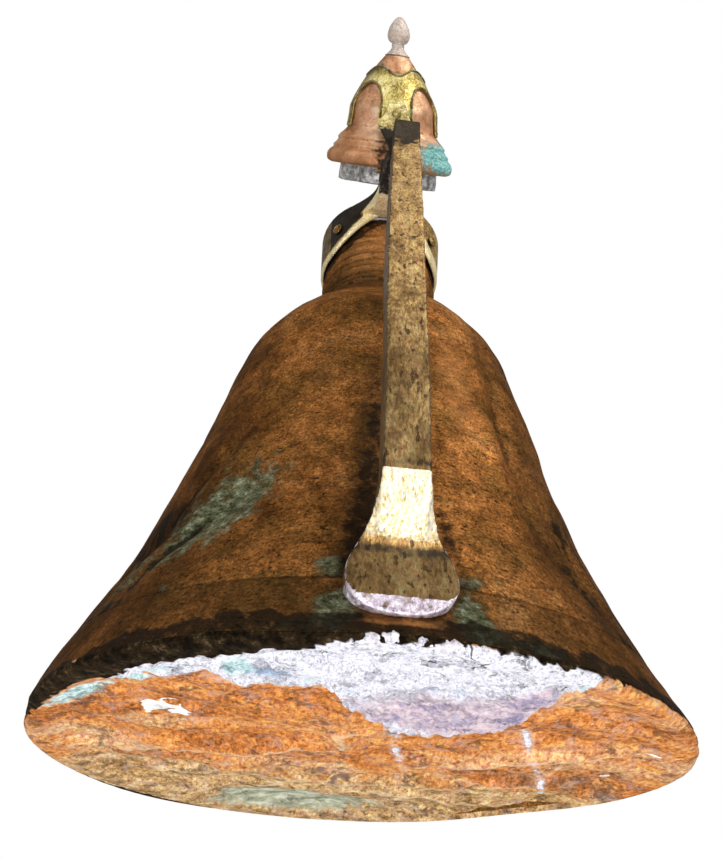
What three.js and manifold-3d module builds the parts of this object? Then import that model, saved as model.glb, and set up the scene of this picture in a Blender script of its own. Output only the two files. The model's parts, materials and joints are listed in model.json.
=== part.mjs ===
// Copper coffee pot with a brass collar, spout, handle and hinged domed lid.
// Millimetres, +Z up, origin on the table under the middle of the base.
// The spout points to -Y and the handle to +Y. The lid is modelled open, leaning on the handle.
import * as THREE from "three";
import { mergeVertices } from "three/addons/utils/BufferGeometryUtils.js";
import Module from "manifold-3d";

const wasm = await Module();
wasm.setup();

// ---------- driving dimensions ----------
const SHEET = 1.5;              // copper sheet thickness
const GAP = 0.3;                // clearance between pieces that touch
const TURN_STEPS = 40;          // facets round the large turned pieces
const LID_STEPS = 32;           // facets round the lid's turned pieces

const BASE_R = 95;              // widest radius, at the bottom edge
const PAN_TOP_Z = 17;           // height of the seam between base pan and body
const PAN_TOP_R = 88.3;
const BODY_TOP_Z = 184;         // where the body meets the neck
const NECK_R = 25;
const NECK_TOP_Z = 226;
const COLLAR_IN_R = 25.4;
const COLLAR_LOW_R = 27.2;
const RIM_R = 28.2;
const RIM_Z = 235.7;
const COLLAR_BACK_Z = 227.5;    // lower edge of the collar behind the neck
const COLLAR_SIDE_Z = 210;      // lower edge of the collar at its sides

const HINGE_Y = 43;             // hinge pin, parallel to X
const HINGE_Z = 235.5;
const PIN_R = 1.5;
const PIN_LENGTH = 15.2;
const BORE_R = PIN_R + 0.15;
const EAR_R = 4.8;
const EAR_IN_X = 3.3;
const EAR_OUT_X = 6.2;
const LID_OPEN = THREE.MathUtils.degToRad(57);

const BAR_W = 11.4;             // handle bar width
const BAR_T = 8;                // handle bar thickness
const FOOT_W = 24.6;            // widest part of the handle's foot
const FOOT_LOW_Z = 6.3;
const COLLAR_RIVET_TURN = THREE.MathUtils.degToRad(50);   // from the back, towards each side
const COLLAR_RIVET_Z = 222.5;
const SHANK_R = 1.1;
const TENON = 4.4;              // square tenon that joins the collar arm to the handle
const TENON_LENGTH = 8;
const JOINT_Z = 230;            // height of that joint
const ARM_END_Y = 55;           // mid-height of the arm's end, which slopes like the bar
const ARM_LOW_Z = 225;
const ARM_TOP_Z = 235;
const KNUCKLE_W = 5.8;

const LID_SEAT_Z = 235.9;       // underside of the lid flange when the lid is closed
const OVERLAY_T = 1;            // thickness of the brass overlay on the lid
const LEAF_T = 3;
const LEAF_RISE = LID_SEAT_Z - HINGE_Z;
const LEAF_RIVET_S = 24.5;      // on the upright part of the hinge leaf
const LEAF_RIVET_Y = 24.9;
const SPOUT_WALL = 2;

// Old knocks and bends that are part of the pot's shape.
// The rim of the base is out of round: [turn from the back towards +X in degrees, spread, depth].
const RIM_KNOCKS = [[68, 18, -2], [138, 36, 9], [228, 22, -8], [275, 25, 2.5]];
const KNOCK_TOP_Z = 13;         // above this height the pan is round
const BAR_SET = 1.4;            // the bar stands this far to +X of the middle
const BAR_LEAN = 4.9;           // and bends back this far to -X on its way to the top
const LID_LEAN = 0.07;          // sideways slope of the dome
const LID_LEAN_FROM = 8;        // height on the lid where the slope starts

// ---------- helpers ----------
const point = (x, y) => new THREE.Vector2(x, y);

function smooth(points, steps) {
  return new THREE.SplineCurve(points.map(([x, y]) => point(x, y))).getPoints(steps);
}

// A closed section of [radius, height] points, turned about the Z axis.
function turned(section, steps = TURN_STEPS) {
  const points = section.map((p) => (p.isVector2 ? p : point(...p)));
  const geometry = new THREE.LatheGeometry([...points, points[0]], steps);
  return geometry.rotateX(Math.PI / 2);
}

// A shell of even thickness under an outer profile that runs upwards.
function shellSection(outer, thickness) {
  const inner = outer.map((p, i) => {
    const before = outer[Math.max(i - 1, 0)];
    const after = outer[Math.min(i + 1, outer.length - 1)];
    const along = after.clone().sub(before).normalize();
    return point(p.x - along.y * thickness, p.y + along.x * thickness);
  });
  inner[0].y = outer[0].y;
  inner[inner.length - 1].y = outer[outer.length - 1].y;
  return [...outer, ...inner.reverse()];
}

// The solid inside a profile, grown outwards, for cutting a neighbour to fit.
function turnedCutter(outer, grow) {
  const first = outer[0];
  const last = outer[outer.length - 1];
  const grown = outer.map((p) => point(p.x + grow, p.y));
  return turned([point(0, first.y - 20), point(first.x + grow, first.y - 20), ...grown,
    point(last.x + grow, last.y + 40), point(0, last.y + 40)]);
}

function extruded(outline, depth, steps = 12) {
  const isShape = outline instanceof THREE.Shape;
  const shape = isShape ? outline : new THREE.Shape(outline.map((p) => (p.isVector2 ? p : point(...p))));
  const geometry = new THREE.ExtrudeGeometry(shape, { depth, bevelEnabled: false, curveSegments: steps });
  return geometry.translate(0, 0, -depth / 2);
}

// An outline drawn in (y, z), extruded along X and centred on x.
function sideCut(outline, width, x = 0) {
  const basis = new THREE.Matrix4().makeBasis(
    new THREE.Vector3(0, 1, 0), new THREE.Vector3(0, 0, 1), new THREE.Vector3(1, 0, 0));
  return extruded(outline, width).applyMatrix4(basis).translate(x, 0, 0);
}

// An outline drawn in (x, z), extruded along Y between two depths.
function frontCut(outline, nearY, farY) {
  return extruded(outline, farY - nearY).rotateX(Math.PI / 2).translate(0, (nearY + farY) / 2, 0);
}

// An outline drawn in (x, y), extruded upwards between two heights.
function planCut(outline, lowZ, highZ) {
  return extruded(outline, highZ - lowZ).translate(0, 0, (lowZ + highZ) / 2);
}

function rodX(radius, length, y, z, steps = 24) {
  return new THREE.CylinderGeometry(radius, radius, length, steps).rotateZ(Math.PI / 2).translate(0, y, z);
}

// The outline of a strip of even thickness along a centre line.
function strip(centre, thickness) {
  const left = [];
  const right = [];
  centre.forEach((p, i) => {
    const before = centre[Math.max(i - 1, 0)];
    const after = centre[Math.min(i + 1, centre.length - 1)];
    const along = after.clone().sub(before).normalize().multiplyScalar(thickness / 2);
    left.push(point(p.x - along.y, p.y + along.x));
    right.push(point(p.x + along.y, p.y - along.x));
  });
  return [...left, ...right.reverse()];
}

function solid(geometry) {
  const bare = geometry.clone();
  bare.deleteAttribute("normal");
  bare.deleteAttribute("uv");
  const merged = mergeVertices(bare, 1e-4);
  return new wasm.Manifold(new wasm.Mesh({
    numProp: 3,
    vertProperties: new Float32Array(merged.attributes.position.array),
    triVerts: new Uint32Array(merged.index.array),
  }));
}

function surface(manifold) {
  const mesh = manifold.getMesh();
  const geometry = new THREE.BufferGeometry();
  geometry.setAttribute("position", new THREE.BufferAttribute(mesh.vertProperties, 3));
  geometry.setIndex(new THREE.BufferAttribute(mesh.triVerts, 1));
  geometry.computeVertexNormals();
  return geometry;
}

const cut = (base, ...tools) => tools.map(solid).reduce((a, b) => a.subtract(b), base);

// Moves every corner of a geometry: shift(place) changes the place it is given.
function bent(geometry, shift) {
  const positions = geometry.attributes.position;
  const place = new THREE.Vector3();
  for (let i = 0; i < positions.count; i += 1) {
    place.fromBufferAttribute(positions, i);
    shift(place);
    positions.setXYZ(i, place.x, place.y, place.z);
  }
  geometry.computeVertexNormals();
  return geometry;
}

function metal(color, roughness, metalness = 0.9) {
  return new THREE.MeshStandardMaterial({ color, roughness, metalness });
}

const AGED_COPPER = 0x8a5230;
const LID_COPPER = 0xb87c5c;
const AGED_BRASS = 0x8c7238;
const LID_BRASS = 0xc0a850;
const TIN = 0xb8b8bc;

function piece(parent, name, geometry, color, roughness) {
  const mesh = new THREE.Mesh(geometry, metal(color, roughness));
  mesh.name = name;
  parent.add(mesh);
  return mesh;
}

const pot = new THREE.Group();

// ---------- body ----------
const bodyOuter = smooth([
  [PAN_TOP_R - 0.2, PAN_TOP_Z + GAP], [77.7, 43], [69.4, 71], [63.1, 100], [57.2, 127],
  [52.6, 145], [43.6, 160], [32, 173], [NECK_R + 0.6, BODY_TOP_Z],
], 13);

function knockRim(place) {
  const radius = Math.hypot(place.x, place.y);
  const turn = THREE.MathUtils.radToDeg(Math.atan2(place.x, place.y));
  const low = 1 - THREE.MathUtils.smoothstep(place.z, 0, KNOCK_TOP_Z);
  const near = low * THREE.MathUtils.smoothstep(radius, 60, 88);
  const push = RIM_KNOCKS.reduce((sum, [middle, spread, depth]) => {
    const away = THREE.MathUtils.euclideanModulo(turn - middle + 180, 360) - 180;
    return sum + depth * Math.exp(-((away / spread) ** 2));
  }, 0);
  const grown = 1 + (push * near) / Math.max(radius, 1);
  place.x *= grown;
  place.y *= grown;
}

function basePan() {
  const edge = [point(92.5, 0), point(94.3, 0.7)];
  const outer = [...edge, point(BASE_R, 2.2), point(91.6, 9), point(PAN_TOP_R, PAN_TOP_Z)];
  const inner = [point(PAN_TOP_R - SHEET, PAN_TOP_Z), point(90, 9), point(92.6, 2.8), point(91, SHEET)];
  const plate = [60, 74, 88].map((r) => point(r, 0));
  const floor = [88, 74, 60].map((r) => point(r, SHEET));
  const section = [point(0, 0), ...plate, ...outer, ...inner, ...floor, point(0, SHEET)];
  return bent(turned(section), knockRim);
}

function neckSleeve() {
  const topR = NECK_R - 0.9;
  const bore = topR - SHEET;
  const sleeve = turned([
    [NECK_R, BODY_TOP_Z + GAP], [NECK_R + 0.7, 186.5], [NECK_R, 189], [NECK_R, 196], [NECK_R + 0.6, 198],
    [NECK_R, 200], [NECK_R, 206.5], [topR, 208], [topR, NECK_TOP_Z],
    [bore, NECK_TOP_Z], [bore, BODY_TOP_Z + GAP],
  ]);
  const pourWindow = new THREE.BoxGeometry(17, 20, 17).translate(0, -NECK_R, 200);
  return surface(cut(solid(sleeve), pourWindow));
}

// ---------- collar with its hinge arm ----------
// The lower edge is high behind the neck and drops in a curve to the sides.
function collarLowZ(turnFromBack) {
  const reach = THREE.MathUtils.degToRad(70);
  const share = Math.min(Math.abs(turnFromBack) / reach, 1);
  return THREE.MathUtils.lerp(COLLAR_BACK_Z, COLLAR_SIDE_Z, Math.sin(share * Math.PI / 2) ** 1.5);
}

function collarRing() {
  const steps = 48;
  const positions = [];
  const index = [];
  for (let i = 0; i < steps; i += 1) {
    const turn = (i / steps) * Math.PI * 2 - Math.PI;
    const low = collarLowZ(turn);
    const section = [[COLLAR_IN_R, low], [COLLAR_LOW_R - 0.6, low], [COLLAR_LOW_R, low + 1.4],
      [RIM_R, RIM_Z - 0.8], [RIM_R - 0.7, RIM_Z], [COLLAR_IN_R, RIM_Z]];
    section.forEach(([r, z]) => positions.push(r * Math.sin(turn), r * Math.cos(turn), z));
    for (let j = 0; j < 6; j += 1) {
      const a = i * 6 + j;
      const b = i * 6 + ((j + 1) % 6);
      const c = ((i + 1) % steps) * 6 + j;
      const d = ((i + 1) % steps) * 6 + ((j + 1) % 6);
      index.push(a, b, c, b, d, c);
    }
  }
  const geometry = new THREE.BufferGeometry();
  geometry.setAttribute("position", new THREE.Float32BufferAttribute(positions, 3));
  geometry.setIndex(index);
  return geometry;
}

// The bar is set a little to one side and leans back across towards its top.
function barShift(z) {
  const share = THREE.MathUtils.clamp((z - 114) / 142, 0, 1);
  return BAR_SET - BAR_LEAN * share ** 1.3;
}

function mouthCollar() {
  const half = BAR_W / 2;
  const aside = barShift(JOINT_Z);
  const plan = new THREE.Shape();
  plan.moveTo(-21, 17.5);
  plan.bezierCurveTo(-13, 28, -half, 29, -half, 40);
  plan.lineTo(-half, 48);
  plan.lineTo(-half + aside, 60);
  plan.lineTo(half + aside, 60);
  plan.lineTo(half, 48);
  plan.lineTo(half, 40);
  plan.bezierCurveTo(half, 29, 13, 28, 21, 17.5);
  plan.closePath();
  const side = [[15, ARM_LOW_Z + 3], [30, ARM_LOW_Z], [ARM_END_Y + 1.2, ARM_LOW_Z],
    [ARM_END_Y - 1.3, ARM_TOP_Z], [15, ARM_TOP_Z]];
  const arm = solid(planCut(plan, ARM_LOW_Z - 10, ARM_TOP_Z + 10)).intersect(solid(sideCut(side, 60)));
  const ears = [-1, 1].map((hand) => {
    const middle = hand * (EAR_IN_X + EAR_OUT_X) / 2;
    const ear = rodX(EAR_R, EAR_OUT_X - EAR_IN_X, HINGE_Y, HINGE_Z).translate(middle, 0, 0);
    return solid(ear);
  });
  const tenon = new THREE.BoxGeometry(TENON, TENON_LENGTH, TENON).translate(aside, ARM_END_Y, JOINT_Z);
  const whole = solid(collarRing()).add(arm).add(ears[0]).add(ears[1]).add(solid(tenon));
  const throat = turned([[0, 200], [COLLAR_IN_R, 200], [COLLAR_IN_R, 250], [0, 250]]);
  const knuckleSlot = rodX(EAR_R + 0.5, EAR_IN_X * 2, HINGE_Y, HINGE_Z);
  const bore = rodX(BORE_R, 20, HINGE_Y, HINGE_Z);
  const rivetHoles = [-1, 1].map((hand) => new THREE.CylinderGeometry(SHANK_R + GAP, SHANK_R + GAP, 20, 12)
    .translate(0, RIM_R, COLLAR_RIVET_Z).rotateZ(-hand * COLLAR_RIVET_TURN));
  return surface(cut(whole, throat, knuckleSlot, bore, ...rivetHoles));
}

// ---------- handle ----------
const barCentre = smooth([
  [90.2, 27], [95, 36], [94.8, 60], [90.9, 97], [76.1, 163], [61.2, 223], [53.6, 253.4],
], 16);

function handle() {
  const bar = bent(sideCut(strip(barCentre, BAR_T), BAR_W), (place) => {
    place.x += barShift(place.z);
  });
  const wide = FOOT_W / 2;
  const narrow = BAR_W / 2;
  const spade = new THREE.Shape();
  spade.moveTo(0, FOOT_LOW_Z);
  spade.bezierCurveTo(8.5, FOOT_LOW_Z, wide, 9.5, wide, 15);
  spade.bezierCurveTo(wide, 22, narrow, 25, narrow, 40);
  spade.lineTo(-narrow, 40);
  spade.bezierCurveTo(-narrow, 25, -wide, 22, -wide, 15);
  spade.bezierCurveTo(-wide, 9.5, -8.5, FOOT_LOW_Z, 0, FOOT_LOW_Z);
  const footSide = [[80, 5], [94.8, 5], [96.2, 10.5], [93.8, 18.5], [93, 25], [98.8, 36], [93, 40], [70, 30]];
  const front = frontCut(spade, 70, 110).translate(BAR_SET, 0, 0);
  const foot = solid(front).intersect(solid(sideCut(footSide, 40)));
  const panProfile = [point(BASE_R, 2.2), point(91.6, 9), point(PAN_TOP_R, PAN_TOP_Z)];
  const wall = turnedCutter([...panProfile, ...bodyOuter.slice(1)], GAP);
  const hole = TENON + 2 * GAP;
  const mortise = new THREE.BoxGeometry(hole, TENON_LENGTH + 2 * GAP, hole)
    .translate(barShift(JOINT_Z), ARM_END_Y, JOINT_Z);
  return surface(cut(solid(bar).add(foot), wall, mortise));
}

// ---------- spout ----------
function beak(inset) {
  const side = new THREE.Shape();
  side.moveTo(-10, 178 + inset * 2);
  side.lineTo(-30, 182 + inset * 2);
  side.bezierCurveTo(-48, 190 + inset, -72, 212 + inset, -96 + inset * 4, 240);
  side.lineTo(-97 + inset * 4, 241.5 + inset * 20);
  side.bezierCurveTo(-74, 232 + inset * 20, -54, 225 + inset * 20, -24, 233 + inset * 20);
  side.lineTo(-10, 233 + inset * 20);
  const wide = 21 - inset;
  const narrow = 3.4 - inset * 0.8;
  const plan = new THREE.Shape();
  plan.moveTo(wide, -8);
  plan.bezierCurveTo(wide, -36, 8 - inset, -46, narrow, -97 + inset * 2);
  plan.lineTo(-narrow, -97 + inset * 2);
  plan.bezierCurveTo(-8 + inset, -46, -wide, -36, -wide, -8);
  return solid(sideCut(side, 50)).intersect(solid(planCut(plan, 150, 300)));
}

function spout() {
  const neckFace = NECK_R + 0.7 + GAP;
  const neckWall = turned([[0, 150], [neckFace, 150], [neckFace, 207], [COLLAR_LOW_R + GAP, 207.5],
    [RIM_R + GAP, RIM_Z], [RIM_R + GAP, 250], [0, 250]]);
  const skin = bodyOuter.map((p) => point(p.x + GAP, p.y + GAP));
  const shoulder = turned([...skin, point(0, BODY_TOP_Z), point(0, 0)]);
  const channel = beak(SPOUT_WALL);
  return surface(cut(beak(0).subtract(channel), neckWall, shoulder));
}

// ---------- lid, drawn closed and measured from the flange's underside ----------
function leanDome(place) {
  place.x += LID_LEAN * Math.max(0, place.z - LID_LEAN_FROM);
}

const domeOuter = [
  [28.4, 0.3], [31, 2.6], [31, 5.2], [28.4, 7.4], [28.2, 8.4], [26.4, 10.6], [26.2, 12.2], [24.4, 14.6],
  [21.2, 17.6], [20.5, 22], [20, 27], [18.1, 31.5], [15.4, 36.4], [12.6, 41], [9.1, 46.2], [5.9, 50.2],
].map(([r, s]) => point(r, s));

function lidDome() {
  const skirtSeat = 24.7;
  const inner = [[2.3, 50.2], [2.3, 49], [7.2, 46], [10.8, 40.4], [13.6, 35.6], [16.3, 30.8], [18.1, 26.4],
    [18.8, 21.6], [19.6, 17], [22.6, 13.4], [skirtSeat, 9.6], [skirtSeat, 0.3]].map(([r, s]) => point(r, s));
  return bent(turned([...domeOuter, ...inner], LID_STEPS), leanDome);
}

function lidSkirt() {
  return turned([[23, -7], [24.3, -6.6], [24.3, 9], [22.9, 9]], LID_STEPS);
}

function lidOverlay() {
  const low = 17.8;
  const seat = domeOuter.filter((p) => p.y > 17 && p.y < 47).map((p) => point(p.x + GAP, p.y));
  const sheet = turned(shellSection(seat.map((p) => point(p.x + OVERLAY_T, p.y)), OVERLAY_T), LID_STEPS);
  const arch = new THREE.Shape();
  arch.moveTo(-8.6, low - 4);
  arch.lineTo(8.6, low - 4);
  arch.lineTo(8, 28);
  arch.absellipse(0, 28, 8, 9.5, 0, Math.PI, false);
  arch.closePath();
  const windowCut = frontCut(arch, 4, 40);
  const scallop = new THREE.CylinderGeometry(7.5, 7.5, 40, 20).translate(0, 22, 49.5);
  const tools = [];
  for (let quarter = 0; quarter < 4; quarter += 1) {
    const turn = quarter * Math.PI / 2;
    tools.push(windowCut.clone().rotateZ(turn + Math.PI / 4));
    tools.push(scallop.clone().rotateZ(turn));
  }
  return bent(surface(cut(solid(sheet), ...tools)), leanDome);
}

function hingeLeaf() {
  const side = strip(smooth([[22.8, 29], [23.4, 22], [28.8, 16.2], [HINGE_Y, -LEAF_RISE]], 8), LEAF_T);
  const front = new THREE.Shape();
  front.moveTo(-2.9, -6);
  front.lineTo(2.9, -6);
  front.lineTo(2.9, 8);
  front.bezierCurveTo(4, 13, 8.5, 17, 8.5, 21);
  front.bezierCurveTo(6, 22, 5, 24, 4, 28.6);
  front.lineTo(-4, 28.6);
  front.bezierCurveTo(-5, 24, -6, 22, -8.5, 21);
  front.bezierCurveTo(-8.5, 17, -4, 13, -2.9, 8);
  const blade = solid(sideCut(side, 30)).intersect(solid(frontCut(front, 10, 60)));
  const knuckle = rodX(EAR_R - 0.2, KNUCKLE_W, HINGE_Y, -LEAF_RISE);
  const grown = domeOuter.map((p) => point(p.x + 2 * GAP + OVERLAY_T, p.y));
  const lidWall = turned([point(0, 0), point(grown[0].x, 0), ...grown, point(0, 50.2)], LID_STEPS);
  const rivetHole = new THREE.CylinderGeometry(SHANK_R + GAP, SHANK_R + GAP, 12, 12)
    .translate(0, LEAF_RIVET_Y, LEAF_RIVET_S);
  const bore = rodX(BORE_R, 20, HINGE_Y, -LEAF_RISE);
  return bent(surface(cut(blade.add(solid(knuckle)), lidWall, bore, rivetHole)), leanDome);
}

// The finial's tenon goes through the dome and is peened over a washer inside.
function finial() {
  const section = [[0, 44.9], [2.9, 44.9], [2.9, 45.7], [2, 45.7], [2, 50.5], [5.8, 50.5], [3.2, 53.2],
    [2.7, 54.8], [3.4, 55.6], [4.6, 58.6], [4.4, 61], [3, 64.4], [1, 67], [0, 67.2]];
  return bent(turned(section, 24), leanDome);
}

function finialWasher() {
  return bent(turned([[2.3, 46], [4.4, 46], [4.4, 46.9], [2.3, 46.9]], 20), leanDome);
}

// Solder runs drawn along the inside of the joints they seal.
const baseSolder = () => turned([[87.3, 14.2], [86.2, 17.1], [84.9, 20.2], [83.8, 19.2], [85.3, 15]]);
const neckSolder = () => turned([[22.8, 181.6], [25, 181.6], [23.5, 184], [22.8, 184]]);
const collarFootZ = NECK_TOP_Z + GAP;
const collarSolder = () => turned([[23.2, collarFootZ], [25.1, collarFootZ], [25.1, 228], [23.2, 227.3]]);
const skirtSection = [[22.9, 9.3], [24.3, 9.3], [23.4, 11], [22.9, 11]];
const skirtSolder = () => bent(turned(skirtSection, LID_STEPS), leanDome);

// A low domed rivet head facing +Y, with its shank behind it.
function rivet(radius, height, shank) {
  const head = [];
  for (let i = 0; i <= 4; i += 1) {
    const lift = (i / 4) * Math.PI / 2;
    head.push([radius * Math.cos(lift), height * Math.sin(lift)]);
  }
  return turned([[0, -shank], [SHANK_R, -shank], [SHANK_R, 0], ...head], 14).rotateX(-Math.PI / 2);
}

// ---------- assembly ----------
piece(pot, "base_pan", basePan(), 0xb5662c, 0.55);
piece(pot, "body_shell", turned(shellSection(bodyOuter, SHEET)), AGED_COPPER, 0.5);
piece(pot, "neck_sleeve", neckSleeve(), AGED_COPPER, 0.45);
piece(pot, "mouth_collar", mouthCollar(), AGED_BRASS, 0.4);
piece(pot, "handle", handle(), AGED_BRASS, 0.45);
piece(pot, "spout", spout(), AGED_BRASS, 0.45);
piece(pot, "hinge_pin", rodX(PIN_R, PIN_LENGTH, HINGE_Y, HINGE_Z), AGED_BRASS, 0.4);

piece(pot, "base_solder", baseSolder(), TIN, 0.5);
piece(pot, "neck_solder", neckSolder(), TIN, 0.5);
piece(pot, "collar_solder", collarSolder(), TIN, 0.5);
[["collar_rivet_left", 1], ["collar_rivet_right", -1]].forEach(([name, hand]) => {
  const head = piece(pot, name, rivet(2.6, 1.3, 2.2), AGED_BRASS, 0.4);
  head.position.set(0, RIM_R + 0.2, COLLAR_RIVET_Z);
  head.position.applyAxisAngle(new THREE.Vector3(0, 0, 1), -hand * COLLAR_RIVET_TURN);
  head.rotation.z = -hand * COLLAR_RIVET_TURN;
});

const lid = new THREE.Group();
lid.position.set(0, HINGE_Y, HINGE_Z);
lid.rotation.x = -LID_OPEN;
pot.add(lid);
const closedLid = new THREE.Group();
closedLid.position.set(0, -HINGE_Y, LEAF_RISE);
lid.add(closedLid);

piece(closedLid, "lid_dome", lidDome(), LID_COPPER, 0.45);
piece(closedLid, "lid_skirt", lidSkirt(), 0xc8c8cc, 0.3);
piece(closedLid, "lid_overlay", lidOverlay(), LID_BRASS, 0.35);
piece(closedLid, "lid_hinge_leaf", hingeLeaf(), LID_BRASS, 0.4);
piece(closedLid, "lid_finial", finial(), 0xb8aca0, 0.5);
piece(closedLid, "finial_washer", finialWasher(), LID_BRASS, 0.5);
piece(closedLid, "skirt_solder", skirtSolder(), TIN, 0.5);
const leafRivet = piece(closedLid, "leaf_rivet", rivet(2.1, 1.1, 2.2), LID_BRASS, 0.4);
leafRivet.position.set(0, LEAF_RIVET_Y, LEAF_RIVET_S);
leanDome(leafRivet.position);

export default pot;
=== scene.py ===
"""Looks for the copper coffee pot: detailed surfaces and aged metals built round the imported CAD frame.

Sizes are in millimetres and are turned into metres where a mesh is made.
The spout points to -Y, the handle to +Y, and +Z is up. A turn is an angle round the pot, in degrees,
measured from the handle side and growing towards +X.
"""
import json
import math

import bpy
import numpy as np
from mathutils import Matrix, Vector, noise


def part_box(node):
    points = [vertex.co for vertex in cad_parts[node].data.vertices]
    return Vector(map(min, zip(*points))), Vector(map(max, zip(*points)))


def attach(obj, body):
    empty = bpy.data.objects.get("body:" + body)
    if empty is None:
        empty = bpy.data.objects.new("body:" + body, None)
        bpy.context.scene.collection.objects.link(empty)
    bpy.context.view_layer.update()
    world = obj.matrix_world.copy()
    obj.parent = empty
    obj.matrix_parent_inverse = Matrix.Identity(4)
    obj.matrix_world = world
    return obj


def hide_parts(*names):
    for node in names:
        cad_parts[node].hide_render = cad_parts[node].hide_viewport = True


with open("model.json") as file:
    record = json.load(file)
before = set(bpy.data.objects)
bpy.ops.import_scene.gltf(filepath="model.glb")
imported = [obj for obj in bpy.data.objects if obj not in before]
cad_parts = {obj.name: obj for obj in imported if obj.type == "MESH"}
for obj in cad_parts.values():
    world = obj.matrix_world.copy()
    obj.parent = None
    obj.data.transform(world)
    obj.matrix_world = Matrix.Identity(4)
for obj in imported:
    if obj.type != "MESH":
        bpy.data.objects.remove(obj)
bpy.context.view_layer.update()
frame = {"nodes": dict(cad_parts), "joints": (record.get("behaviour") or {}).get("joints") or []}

MM = 0.001
RING_STEPS = 360            # points round the large turned surfaces

# ---------------------------------------------------------------- lid place, from the hinge in the record
hinge = frame["joints"][0]
pin_place = Vector(hinge["pos_m"])
lid_angle = math.radians(max(hinge["range_deg"]))
LID_SEAT = 235.9
lid_matrix = (Matrix.Translation(pin_place) @ Matrix.Rotation(-lid_angle, 4, "X")
              @ Matrix.Translation(-pin_place) @ Matrix.Translation((0, 0, LID_SEAT * MM)))


# ---------------------------------------------------------------- shape helpers
def curve(points, spacing):
    """A smooth line through points of any dimension, sampled about every `spacing`."""
    p = np.array(points, float)
    p = np.vstack([2 * p[0] - p[1], p, 2 * p[-1] - p[-2]])
    line = []
    for a, b, c, d in zip(p, p[1:], p[2:], p[3:]):
        count = max(1, round(np.linalg.norm(c - b) / spacing))
        for t in np.arange(count) / count:
            line.append(0.5 * (2 * b + (c - a) * t + (2 * a - 5 * b + 4 * c - d) * t * t
                               + (3 * b - a - 3 * c + d) * t ** 3))
    return np.array([*line, p[-2]])


def straight(points, spacing):
    """The same points joined by straight runs."""
    p = np.array(points, float)
    line = []
    for a, b in zip(p, p[1:]):
        count = max(1, round(np.linalg.norm(b - a) / spacing))
        line += [a + (b - a) * i / count for i in range(count)]
    return np.array([*line, p[-1]])


def turned(profile, steps=RING_STEPS):
    """A grid of points: a (radius, height) profile carried round the Z axis."""
    turn = np.linspace(0, 2 * np.pi, steps, endpoint=False)
    r, z = np.array(profile, float).T
    return np.stack([r[:, None] * np.sin(turn), r[:, None] * np.cos(turn),
                     np.repeat(z[:, None], steps, 1)], -1)


def unit(vectors):
    return vectors / np.linalg.norm(vectors, axis=-1, keepdims=True)


def shell(outer, thickness):
    """A closed profile: up the outer line, and down a line inside it by `thickness`."""
    along = unit(np.gradient(outer, axis=0))
    inner = outer + np.stack([-along[:, 1], along[:, 0]], -1) * thickness
    return np.vstack([outer, inner[::-1]])


def in_scene(name, data):
    """A new object that holds a mesh, a light or a camera."""
    made = bpy.data.objects.new(name, data)
    bpy.context.scene.collection.objects.link(made)
    return made


def mesh_piece(name, points, faces):
    """A smooth piece from points in millimetres and the faces between them."""
    mesh = bpy.data.meshes.new(name)
    mesh.from_pydata((np.array(points) * MM).tolist(), [], faces)
    mesh.polygons.foreach_set("use_smooth", [True] * len(mesh.polygons))
    mesh.validate()
    return in_scene(name, mesh)


def grid_piece(name, grid, closed=True):
    """A mesh from a grid that wraps round its second axis, and round its first one if closed."""
    rows, steps, _ = grid.shape
    index = np.arange(rows * steps).reshape(rows, steps)
    below = index if closed else index[:-1]
    above = np.roll(index, -1, 0) if closed else index[1:]
    faces = np.stack([below, above, np.roll(above, -1, 1), np.roll(below, -1, 1)], -1).reshape(-1, 4)
    return mesh_piece(name, grid.reshape(-1, 3), faces.tolist())


def rough(points, size, amount, seed=0.0, detail=3):
    """Smooth random heights for an array of points: bumps of about `size`, up to `amount` high."""
    flat = points.reshape(-1, 3) / size + seed
    values = [noise.fractal(Vector(p), 1.0, 2.0, detail) for p in flat]
    return amount * np.array(values).reshape(points.shape[:-1])


def radius_of(points):
    return np.hypot(points[..., 0], points[..., 1])


def outward_of(points):
    """The level direction away from the pot's axis: one unit long, and shorter within 1 mm of it."""
    return points * [1, 1, 0] / np.maximum(radius_of(points), 1)[..., None]


def turn_and_height(points):
    return np.degrees(np.arctan2(points[..., 0], points[..., 1])), points[..., 2]


def turn_from(middle, turns):
    """How far round each turn is from a middle one, from -180 to 180."""
    return (turns - middle + 180) % 360 - 180


def oval(x, y, across, tall, lean):
    """1 at the origin, falling to 0 at about the rim of an oval that leans by some degrees."""
    tilt = math.radians(lean)
    u = (x * math.cos(tilt) + y * math.sin(tilt)) / across
    v = (-x * math.sin(tilt) + y * math.cos(tilt)) / tall
    return np.exp(-(u * u + v * v) * 1.6)


def patch(points, turn, height, across, tall, lean=0.0):
    """An oval on the pot's side. The lengths are in millimetres along the side."""
    turns, heights = turn_and_height(points)
    x = np.radians(turn_from(turn, turns)) * radius_of(points)
    return oval(x, heights - height, across, tall, lean)


def disc(points, x, y, across, deep, lean=0.0):
    """An oval on the underside, in x and y."""
    return oval(points[..., 0] - x, points[..., 1] - y, across, deep, lean)


def patches(points, rows):
    """Ovals on the side, added up. A row is a strength and then what patch() takes."""
    return sum(strength * patch(points, *place) for strength, *place in rows)


def discs(points, rows):
    """Ovals on the underside, added up. A row is a strength and then what disc() takes."""
    return sum(strength * disc(points, *place) for strength, *place in rows)


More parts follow.
